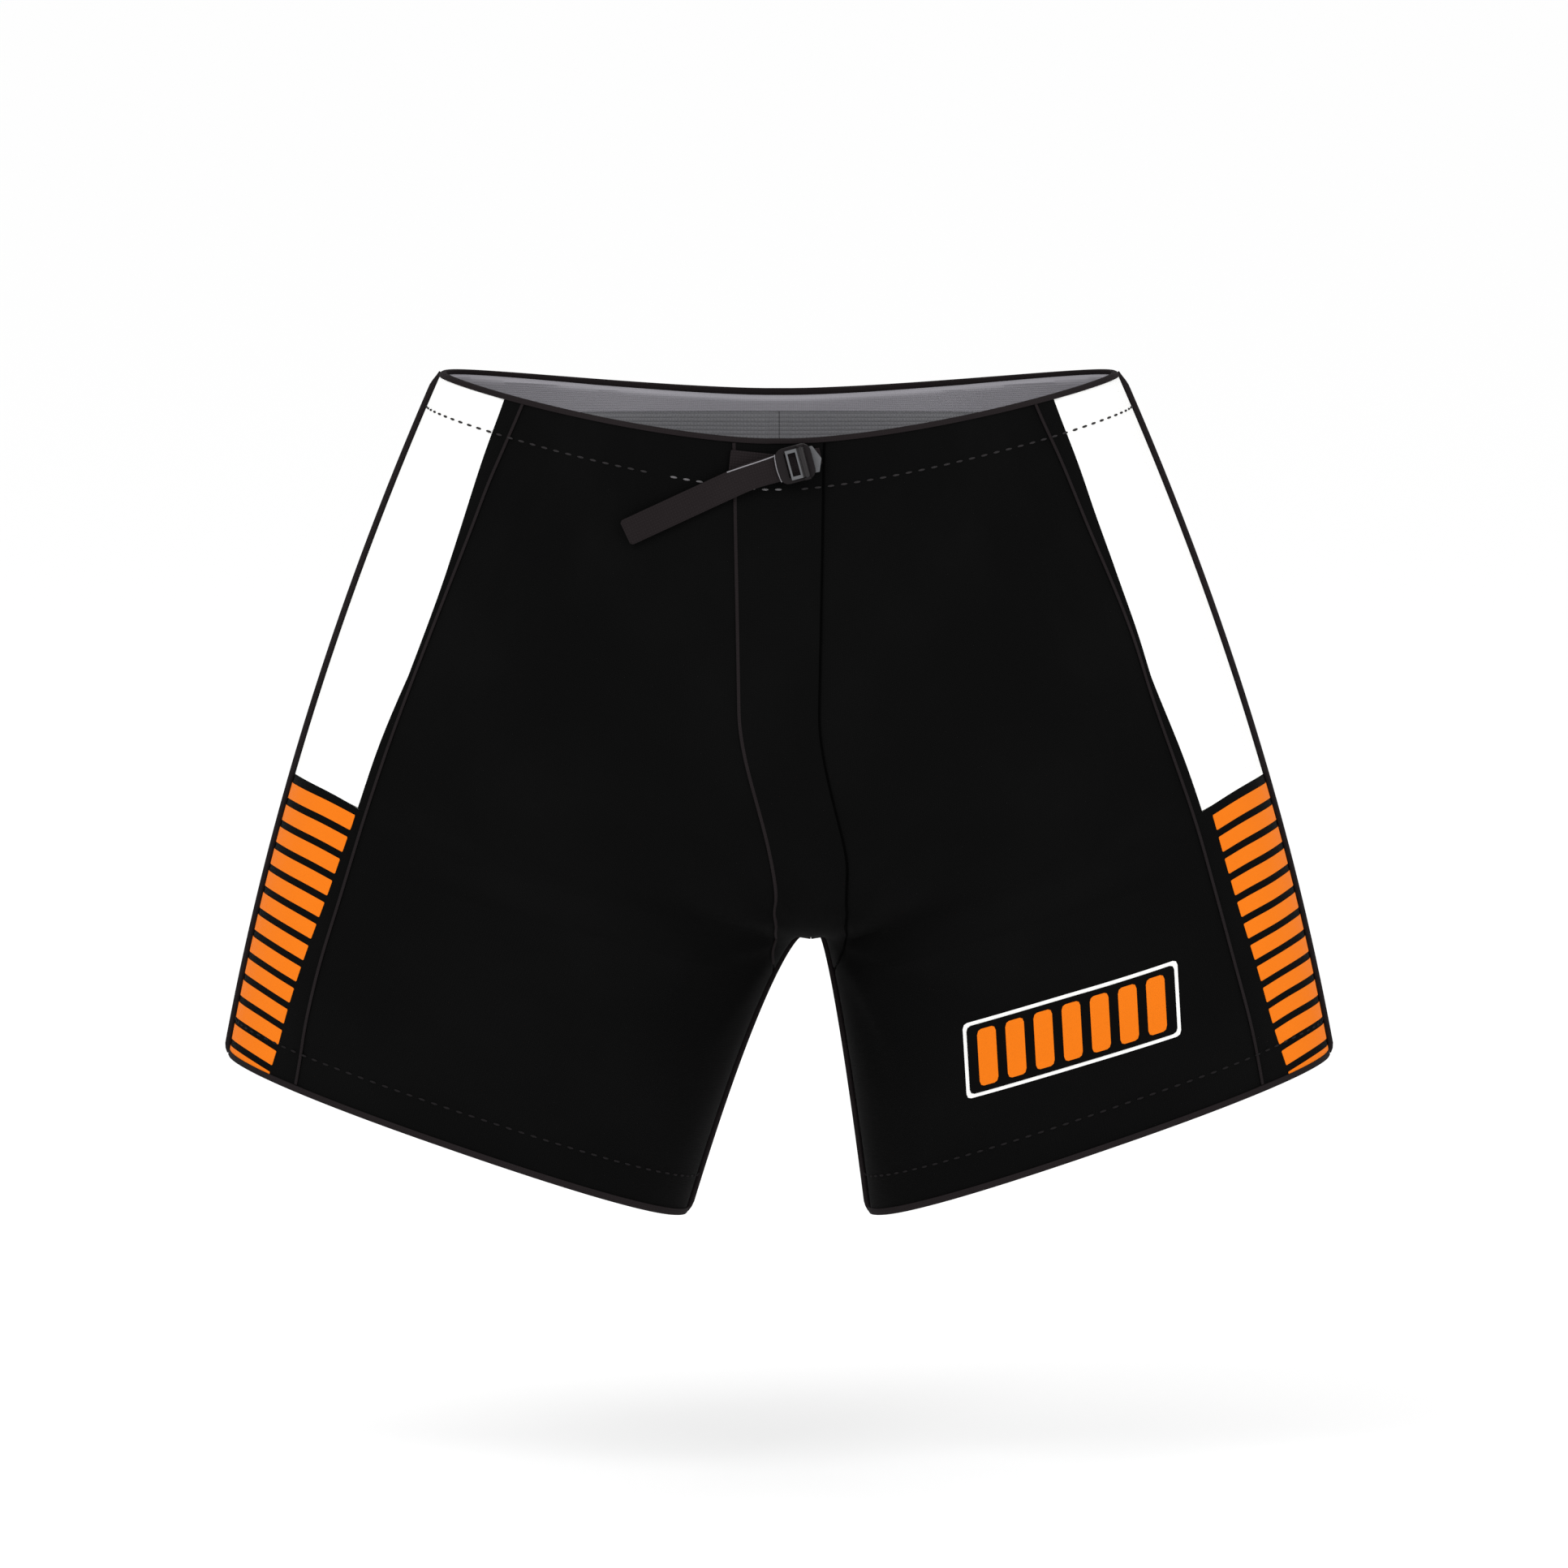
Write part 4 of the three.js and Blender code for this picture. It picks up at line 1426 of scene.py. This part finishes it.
@dataclass(frozen=True)
class SewnPatch:
    """A slanted piece sewn flat on the front."""

    name: str
    look: str
    slot: str
    x: float
    z: float
    wide: float
    tall: float
    turn: float
    slant: float = 0.0
    lift: float = -0.0008
    thick: float = 0.0007
    corner: float = 0.003
    nodes: tuple[str, ...] = ()
    on: str = "front_panel_left_cloth"

    def grid(self, wide: float, tall: float, shift: float = 0.0) -> Array:
        """Points of a rounded, slanted patch.

        Args:
            wide: its width.
            tall: its height.
            shift: distance of its middle from the patch's, along the width.

        Returns:
            The grid, on the cloth's face.
        """
        cols, rows = max(6, int(wide / 0.003)), max(8, int(tall / 0.003))
        a = np.linspace(-0.5, 0.5, cols)[None, :] * np.ones((rows, 1))
        b = np.linspace(0.5, -0.5, rows)[:, None] * np.ones((1, cols))
        round_x, round_y = min(self.corner / wide, 0.4), min(self.corner / tall, 0.4)
        edge_x = np.clip((np.abs(a) - 0.5 + round_x) / round_x, 0.0, 1.0)
        edge_y = np.clip((np.abs(b) - 0.5 + round_y) / round_y, 0.0, 1.0)
        a = a - np.sign(a) * round_x * 0.3 * edge_x * edge_y ** 2
        b = b - np.sign(b) * round_y * 0.3 * edge_y * edge_x ** 2
        across = a * wide + shift + b * tall * self.slant / self.tall
        turn = math.radians(self.turn)
        x = self.x + across * math.cos(turn) - b * tall * math.sin(turn)
        z = self.z + across * math.sin(turn) + b * tall * math.cos(turn)
        return front_points(x, z, self.lift)

    def finish(self, obj: bpy.types.Object, cut: Cut) -> None:
        """Thicken and dress a patch."""
        face_away(obj, np.array([self.x, 0.0, self.z]))
        thicken(obj, self.thick)
        shade(obj, 50.0)
        place(obj, self.look, self.nodes)

    def build(self) -> None:
        """The whole patch in one piece."""
        points = self.grid(self.wide, self.tall)
        self.finish(grid_object(self.name, points), Cut.of(points))


@dataclass(frozen=True)
class Badge:
    """A plain slanted badge of bars, on the left leg."""

    x: float = 0.196
    z: float = -0.405
    wide: float = 0.150
    tall: float = 0.050
    turn: float = 17.0
    slant: float = 0.012
    rim: float = 0.0024
    bars: int = 7

    def layer(self, name: str, look: str, inset: float, lift: float) -> SewnPatch:
        """One layer of the badge."""
        scale = (self.tall - 2.0 * inset) / self.tall
        return SewnPatch(
            name, look, "emblem", self.x, self.z, self.wide - 2.0 * inset, self.tall - 2.0 * inset,
            self.turn, self.slant * scale, lift,
            nodes=("emblem_patch",) if inset == 0.0 else (),
        )

    def build(self) -> None:
        """Rim, field and bars."""
        self.layer("badge_rim", "twill_white", 0.0, -0.0009).build()
        self.layer("badge_field", "black_nylon", self.rim, -0.0013).build()
        bars = self.layer("badge_bars", "badge_orange", self.rim * 2.6, -0.0018)
        pitch = bars.wide / self.bars
        pieces, area = [], 0.0
        for index in range(self.bars):
            shift = (index + 0.5) * pitch - bars.wide / 2.0
            points = bars.grid(pitch * 0.66, bars.tall, shift)
            area += Cut.of(points).area
            pieces.append(grid_object(f"badge_bar_{index}", points))
        bars.finish(join_all(pieces, "badge_bars"), Cut(bars.wide, bars.tall, area))


# ---- Inside: belt, facings, linings, pads and guards -------------------------------------


@dataclass
class Inside:
    """Everything between the shell and the wearer."""

    facing_t: float = 0.08
    facing_z: float = -0.0031
    belt: tuple[float, float] = (0.016, 0.060)

    def tuck(self, t: Array) -> Array:
        """The facing's distance inward: tucked into the binding, then behind the belt."""
        return 0.0016 + 0.0047 * smooth((t - 0.006) / 0.007)

    def facing_end(self, side: Side, angle: Array) -> Array:
        """Height share at which the facing ends."""
        x = FORM.surface(side, angle, np.full(angle.shape, 0.03), 0.0 * angle)[..., 0]
        back = FORM.share_at(side, x, np.full(x.shape, self.facing_z), Face.BACK)
        return np.where(angle < 0.0, np.clip(back, 0.02, self.facing_t), self.facing_t)

    def facings(self) -> None:
        """The front and back waist facings."""
        flat = lambda side: level(0.0)
        size = {"rows": 16, "cols": 60, "top": 0.003, "bottom": self.facing_t, "pinch": 0.0}
        size |= {"offset": self.tuck, "folds": 0.0}
        points = across_middle("facing_front", flat, Face.FRONT, **size)
        self.sew("facing_front", points, "grey_facing", "waist_facing")
        halves = []
        for side in (Side.RIGHT, Side.LEFT):
            inner = inner_angle(side, Face.BACK)
            near, far = (level(0.0), inner) if side is Side.RIGHT else (inner, level(0.0))
            over = np.linspace(0.0, 1.0, 60)
            angle = near(np.full(60, 0.03)) * (1.0 - over) + far(np.full(60, 0.03)) * over
            end = self.facing_end(side, np.minimum(angle, -1e-3))
            patch = ClothPatch("facing_back", side, near, far, 0.003, end, 16, 60, self.tuck, 0.0, 0.0)
            halves.append(patch.points())
        points = np.concatenate(halves, axis=1)
        self.sew("facing_back", points, "grey_facing", "waist_facing")

    def sew(self, name: str, points: Array, look: str, slot: str) -> None:
        """Finish one inner sheet whose face looks at the wearer."""
        sew_sheet(f"{name}_cloth", points, 0.0011, look, [name],
                  centre=np.array([0.0, 0.0, -0.1]))

    def ring(self) -> None:
        """The belt webbing."""
        turn = np.linspace(0.0, 1.0, 110)
        t = np.linspace(self.belt[0], self.belt[1], 9)
        halves = []
        for side, way in ((Side.LEFT, turn), (Side.RIGHT, turn[::-1])):
            shares = np.broadcast_to(t[:, None], (len(t), len(way)))
            angle = inner_angle(side)(shares) * (1.0 - 2.0 * way)
            crown = 0.0004 * np.linspace(-1.0, 1.0, len(t))[:, None] ** 2
            halves.append(FORM.surface(side, angle, shares, 0.0032 + crown + 0.0 * shares))
        points = np.concatenate([halves[0], halves[1], halves[0][:, :1]], axis=1)
        sew_sheet("belt_webbing_band", points, 0.0013, "dark_webbing",
                  ["belt_webbing"], closed=True)

    def lining(self, side: Side) -> None:
        """One leg's lining, round the leg and up to the facing."""
        cols, rows = 150, 110
        turn = np.linspace(0.0, 1.0, cols)
        start = inner_angle(side)(np.full(cols, 0.05)) * (1.0 - 2.0 * turn)
        top = self.facing_end(side, start)
        patch = ClothPatch(
            f"liner_{side.label}", side, inner_angle(side), inner_angle(side, Face.BACK),
            top - 0.006, 0.991, rows, cols, pinch=0.0, folds=0.0,
        )
        t, _ = patch.shares()
        begin = t[:1]
        under = 1.5e-3 * (1.0 - smooth((t - begin) / 0.01))
        deep = 0.0063 + 0.0112 * smooth((t - 0.085) / 0.085)
        hem = smooth((t - 0.89) / 0.07)
        deep = deep * (1.0 - hem) + 0.005 * hem
        deep = deep - 0.0034 * smooth((t - 0.965) / 0.022) - under
        quilt = np.abs(np.sin(26.0 * t + 12.0 * turn)) * np.abs(np.sin(26.0 * t - 12.0 * turn))
        free = smooth((t - 0.17) / 0.05) * (1.0 - hem)
        patch.offset = lambda shares: deep - 0.0016 * quilt ** 0.5 * free
        points = patch.points()
        ends = []
        for column in (0, -1):
            middle = points[:, column].copy()
            middle[:, 0] = FORM.inner_x(side, t[:, column]) - side.value * (FORM.bridge - SEAM_GAP)
            ends.append(middle[:, None])
        points = np.concatenate([ends[0], points, ends[1]], axis=1)
        drop = np.zeros((rows - 1, cols + 1), bool)
        drop[:, 0] = drop[:, -1] = t[1:, 0] > FORM.crotch_t + 0.006
        sew_sheet(f"liner_{side.label}_cloth", points, 0.0011, "mesh_lining",
                  [f"liner_{side.label}"], drop,
                  leg_centre(side))

    def build(self) -> None:
        """Belt, facings, linings and pads."""
        self.ring()
        self.facings()
        for side in Side:
            self.lining(side)
        for pad in protectors():
            pad.build()


@dataclass
class Protector:
    """A foam pad or a plastic guard, shaped to the garment."""

    name: str
    strips: list[tuple[Side, Edge, Edge]]
    top: float
    bottom: float
    near: float = 0.0078
    far: float = 0.0158
    rim: float = 0.006
    groove: float = 0.0026
    lines: tuple[int, int] = (2, 2)
    hard: bool = False
    rows: int = 44
    cols: int = 52

    def plate(self, offset: Callable[[Array, Array], Array]) -> Array:
        """One face of the piece.

        Args:
            offset: distance inward by column and row share, each from -1 to 1.

        Returns:
            The face's grid.
        """
        cols = self.cols // len(self.strips)
        u = np.linspace(-1.0, 1.0, cols * len(self.strips))[None, :]
        v = np.linspace(-1.0, 1.0, self.rows)[:, None]
        u, v = u + 0.0 * v, v + 0.0 * u
        bent_u = u * np.sqrt(1.0 - 0.16 * v ** 4)
        bent_v = v * np.sqrt(1.0 - 0.10 * u ** 4)
        t = self.top + (self.bottom - self.top) * (bent_v + 1.0) / 2.0
        over = (bent_u + 1.0) / 2.0 * len(self.strips)
        parts = []
        for index, (side, near, far) in enumerate(self.strips):
            pick = slice(index * cols, (index + 1) * cols)
            share = np.clip(over[:, pick] - index, 0.0, 1.0)
            angle = near(t[:, pick]) * (1.0 - share) + far(t[:, pick]) * share
            parts.append(FORM.surface(side, angle, t[:, pick], offset(u[:, pick], v[:, pick])))
        return np.concatenate(parts, axis=1)

    def build(self) -> None:
        """Close the two faces into one piece and dress it."""
        flat = self.plate(lambda u, v: np.full(u.shape, self.near))
        wide = float(np.linalg.norm(np.diff(flat, axis=1), axis=-1).sum(1).max())
        tall = float(np.linalg.norm(np.diff(flat, axis=0), axis=-1).sum(0).max())
        middle, half = (self.near + self.far) / 2.0, (self.far - self.near) / 2.0

        def fullness(u: Array, v: Array) -> Array:
            """Share of the full thickness, rounded off at the rim."""
            edge = np.minimum((1.0 - np.abs(u)) * wide, (1.0 - np.abs(v)) * tall) / 2.0
            return np.sqrt(1.0 - (1.0 - np.clip(edge / self.rim, 0.0, 1.0)) ** 2)

        def pressed(u: Array, v: Array) -> Array:
            """Depth of the pressed lines, or height of the ribs."""
            depth = np.zeros(u.shape)
            for axis, size, count in ((u, wide, self.lines[0]), (v, tall, self.lines[1])):
                for line in range(count):
                    place_at = -1.0 + 2.0 * (line + 1) / (count + 1)
                    depth = np.maximum(depth, np.exp(-(((axis - place_at) * size / 0.008) ** 2)))
            return self.groove * depth

        outer = self.plate(lambda u, v: middle - half * fullness(u, v))
        inner = self.plate(lambda u, v: middle + (half - pressed(u, v)) * fullness(u, v))
        rows = np.concatenate([outer, inner[::-1], outer[:1]])
        obj = solid_grid(f"{self.name}_{'shell' if self.hard else 'foam'}", rows, 60.0)
        look, slot = ("guard_white", "guard") if self.hard else ("foam_grey", "foam")
        place(obj, look, [self.name])


def protectors() -> list[Protector]:
    """Every pad and guard."""
    pieces: list[Protector] = []
    for side in Side:
        label = side.label
        guard = {"near": 0.0043, "far": 0.0061, "rim": 0.0009, "groove": -0.0006, "hard": True}
        cap = [(side, level(38.0), level(-38.0))]
        pieces.append(Protector(f"hip_cap_{label}", cap, 0.22, 0.40, **guard))
        pad = [(side, level(46.0), level(-46.0))]
        pieces.append(Protector(f"hip_pad_{label}", pad, 0.175, 0.44))
        cap = [(side, inner_angle(side, inset=0.060), level(-22.0))]
        pieces.append(Protector(f"thigh_cap_{label}", cap, 0.52, 0.84, lines=(3, 2), **guard))
        pad = [(side, inner_angle(side, inset=0.045), level(-34.0))]
        pieces.append(Protector(f"thigh_pad_{label}", pad, 0.46, 0.88, lines=(4, 3), rows=60, cols=80))
        kidney = [(side, inner_angle(side, Face.BACK, 0.042), level(-50.0))]
        pieces.append(Protector(f"kidney_pad_{label}", kidney, 0.175, 0.34))
    for name, half, top, bottom in (
        ("spine_pad", 0.040, 0.175, 0.34),
        ("tailbone_pad", 0.045, 0.355, 0.50),
    ):
        strips = []
        for side in (Side.RIGHT, Side.LEFT):
            edge = at_x(side, side.value * half, Face.BACK)
            middle = inner_angle(side, Face.BACK)
            strips.append((side, edge, middle) if side is Side.RIGHT else (side, middle, edge))
        pieces.append(Protector(name, strips, top, bottom, lines=(1, 2)))
    return pieces


def at_x(side: Side, x: float, face: Face) -> Edge:
    """Edge at one x."""
    return lambda t: face.value * FORM.angle_at(side, t, np.full(np.shape(t), x))


# ---- Waist hardware ---------------------------------------------------------------------


@dataclass(frozen=True)
class MouldedPart:
    """A moulded or pressed part with eased edges."""

    node: str
    name: str
    look: str
    slot: str
    body: str = GARMENT
    ease: float = 0.0004

    def build(self) -> None:
        """Copy the part's exact form, ease its edges and dress it."""
        only(frame["nodes"][self.node])
        bpy.ops.object.duplicate()
        obj = bpy.context.active_object
        obj.name = obj.data.name = self.name
        for key in list(obj.keys()):
            del obj[key]
        bpy.ops.object.parent_clear(type="CLEAR_KEEP_TRANSFORM")
        bpy.ops.object.transform_apply(location=True, rotation=True, scale=True)
        obj.data.materials.clear()
        edit_all(
            obj,
            merge_close(2e-5),
            lambda: bpy.ops.mesh.dissolve_limited(angle_limit=math.radians(2.0)),
            outward,
        )
        bevel = obj.modifiers.new("ease", "BEVEL")
        bevel.width = self.ease
        bevel.segments = 3
        bevel.limit_method = "ANGLE"
        bevel.angle_limit = math.radians(32.0)
        bevel.harden_normals = False
        apply_modifiers(obj)
        shade(obj, 40.0)
        place(obj, self.look, [self.node], self.body)


@dataclass
class WaistHardware:
    """Buckle, lever, pin, hook and the webbing through them."""

    axes: BuckleFrame = BUCKLE
    strap_out: float = 0.123
    strap_in: float = 0.006
    strap_half: float = 0.009
    strap_low: float = 0.002
    strap_high: float = 0.0036
    bend: float = math.radians(10.0)
    bend_from: float = 0.020
    bend_run: float = 0.024

    def bow(self, out: Array) -> Array:
        """How far the strap stands off where it leaves the buckle."""
        return 0.0016 * np.exp(-(((out - 0.036) / 0.013) ** 2))

    def along(self, out: Array, across: Array) -> tuple[Array, Array]:
        """Points on the strap, which turns a little where it hangs loose.

        Args:
            out: evenly rising distances from the buckle's middle.
            across: distances from the strap's middle line.

        Returns:
            Distances along and across the buckle's axes.
        """
        turn = self.bend * smooth((out - self.bend_from) / self.bend_run)
        step = np.diff(out, axis=0, prepend=out[:1])
        u = -(out[:1] + np.cumsum(step * np.cos(turn), axis=0)) - across * np.sin(turn)
        return u, -np.cumsum(step * np.sin(turn), axis=0) + across * np.cos(turn)

    def tail(self) -> None:
        """The loose end of the webbing."""
        out = np.linspace(-self.strap_in, self.strap_out, 110)[:, None]
        turn = np.linspace(0.0, 2.0 * math.pi, 41)[None, :]
        across = signed_power(np.cos(turn), 0.35)
        rise = signed_power(np.sin(turn), 0.6)
        end = np.clip((self.strap_out - out) / 0.0018, 0.0, 1.0)
        half = (self.strap_half - 0.0016 * (1.0 - np.sqrt(end))) * (1.0 + 0.0 * turn)
        ribs = 0.00007 * np.cos(across * self.strap_half * 2.0 * math.pi / 0.0019)
        thick = (self.strap_high - self.strap_low) / 2.0
        middle = (self.strap_high + self.strap_low) / 2.0 + self.bow(out)
        n = middle + rise * (thick + ribs) * (0.4 + 0.6 * end)
        u, v = self.along(out, across * half)
        rows = self.axes.at(u, v, n)[::-1]
        caps = [np.repeat(rows[i].mean(axis=0)[None, None], 41, axis=1) for i in (0, -1)]
        rows = np.concatenate([caps[0], rows, caps[1]])
        obj = solid_grid("strap_tail_web", rows, 60.0)
        place(obj, "dark_webbing", ["strap_tail"], "strap")

    def thread(self, name: str, u: Array, v: Array, n: Array, body: str, deep: float) -> None:
        """A painted highlight: a pale line along the webbing's top edge or the buckle's mouth, where
        light glints.
        """
        path = self.axes.at(u, v, n)
        out = self.axes.at(u, v, n + 1.0) - path
        obj = solid_grid(name, cord_grid(path, out, 0.00042, deep, 8))
        place(obj, "painted_highlight_line", body=body)

    def build(self) -> None:
        """Every part of the waist's fastening."""
        for part in (
            MouldedPart("buckle_body", "buckle_body_moulding", "buckle_black", "buckle_dark"),
            MouldedPart("cam_lever", "cam_lever_plate", "lever_grey", "buckle_light", "lever", 0.0003),
            MouldedPart("lever_pin", "lever_pin_rod", "buckle_grey", "buckle_light", ease=0.0001),
            MouldedPart("anchor_hook", "anchor_hook_plate", "buckle_grey", "buckle_light", ease=0.0003),
        ):
            part.build()
        self.tail()
        # Painted highlights: pale lines along the strap's top edge and down the buckle's mouth,
        # standing in for glints of light.
        share = np.linspace(0.0, 1.0, 40)
        out = 0.0125 + 0.0315 * share
        u, v = self.along(out, 0.0085 - 0.0010 * np.sin(math.pi * share))
        n = self.strap_high + self.bow(out) - 0.0001
        self.thread("strap_edge_painted_highlight", u, v, n, "strap", 0.0004)
        v = 0.0094 - 0.0188 * share
        u = -0.0117 - 0.0010 * np.sin(math.pi * share)
        self.thread("mouth_edge_painted_highlight", u, v, 0.0052 + 0.0 * v, GARMENT, 0.0009)
        lead = SewnPatch(
            "belt_lead_web", "dark_webbing", "webbing", -0.012, -0.0255, 0.042, 0.016, -6.0,
            lift=-0.0017, thick=0.0012, corner=0.0006, nodes=("belt_lead",), on="fly_panel_cloth",
        )
        lead.build()
        tab = SewnPatch(
            "anchor_tab_web", "dark_webbing", "webbing", 0.0215, -0.0205, 0.013, 0.011, 12.0,
            lift=-0.0017, thick=0.0012, corner=0.0006, nodes=("anchor_tab",), on="fly_panel_cloth",
        )
        tab.build()


# ---- Stage ------------------------------------------------------------------------------


@dataclass(frozen=True)
class Studio:
    """Pale floor, soft light and the camera."""

    distance: float = 8.0
    elevation: float = 5.0
    span: float = 1.0626
    target: tuple[float, float, float] = (0.0033, 0.0, -0.2497)
    floor_z: float = -0.72

    def build(self) -> None:
        """Set up the whole stage."""
        self.floor()
        self.light()
        self.camera()
        bpy.context.scene.view_settings.view_transform = "Standard"

    def floor(self) -> None:
        """A wide pale floor."""
        bpy.ops.object.select_all(action="DESELECT")
        bpy.ops.mesh.primitive_plane_add(size=400.0, location=(0.0, 0.0, self.floor_z))
        floor = bpy.context.active_object
        floor.name = "studio_floor"
        material = bpy.data.materials.new("studio_paper")
        material.use_nodes = True
        shader = material.node_tree.nodes["Principled BSDF"]
        shader.inputs["Base Color"].default_value = (0.93, 0.93, 0.93, 1.0)
        shader.inputs["Roughness"].default_value = 1.0
        shader.inputs["Specular IOR Level"].default_value = 0.0
        shader.inputs["Emission Color"].default_value = (1.0, 1.0, 1.0, 1.0)
        shader.inputs["Emission Strength"].default_value = 0.2
        floor.data.materials.append(material)

    def light(self) -> None:
        """An even white surround and two large soft lamps."""
        world = bpy.data.worlds.new("studio")
        bpy.context.scene.world = world
        world.use_nodes = True
        sky = world.node_tree.nodes["Background"]
        sky.inputs["Color"].default_value = (1.0, 1.0, 1.0, 1.0)
        sky.inputs["Strength"].default_value = 0.85
        lamps = [((-2.2, -3.0, 2.6), 2.5, 60.0), ((2.6, -2.4, 1.4), 2.5, 30.0)]
        for index, (where, size, power) in enumerate(lamps):
            bpy.ops.object.light_add(type="AREA", location=where)
            lamp = bpy.context.active_object
            lamp.name = f"soft_lamp_{index}"
            lamp.data.size = size
            lamp.data.energy = power
            aim = Vector(self.target) - lamp.location
            lamp.rotation_euler = aim.to_track_quat("-Z", "Y").to_euler()

    def camera(self) -> None:
        """A long lens straight on to the front, slightly from above."""
        angle = math.radians(self.elevation)
        away = Vector((0.0, -math.cos(angle), math.sin(angle))) * self.distance
        bpy.ops.object.camera_add(location=Vector(self.target) + away)
        camera = bpy.context.active_object
        camera.rotation_euler = (-away).to_track_quat("-Z", "Y").to_euler()
        camera.data.sensor_width = 36.0
        camera.data.lens = 36.0 * self.distance / self.span
        camera.data.clip_end = 500.0
        bpy.context.scene.camera = camera


def main() -> None:
    """Build the pants, piece by piece."""
    logging.basicConfig(level=logging.INFO, format="%(name)s: %(message)s")
    weave_group()
    grain_group()
    for finish in FINISHES:
        finish.build()
    Shell().build()
    Binding().waist()
    for side in Side:
        Binding(reach=0.0042, inner_reach=0.0042).hem(side)
        SideBars().build(side)
    Piping().build()
    Stitching().build()
    Badge().build()
    WaistHardware().build()
    Inside().build()
    Studio().build()


if __name__ == "__main__":
    main()
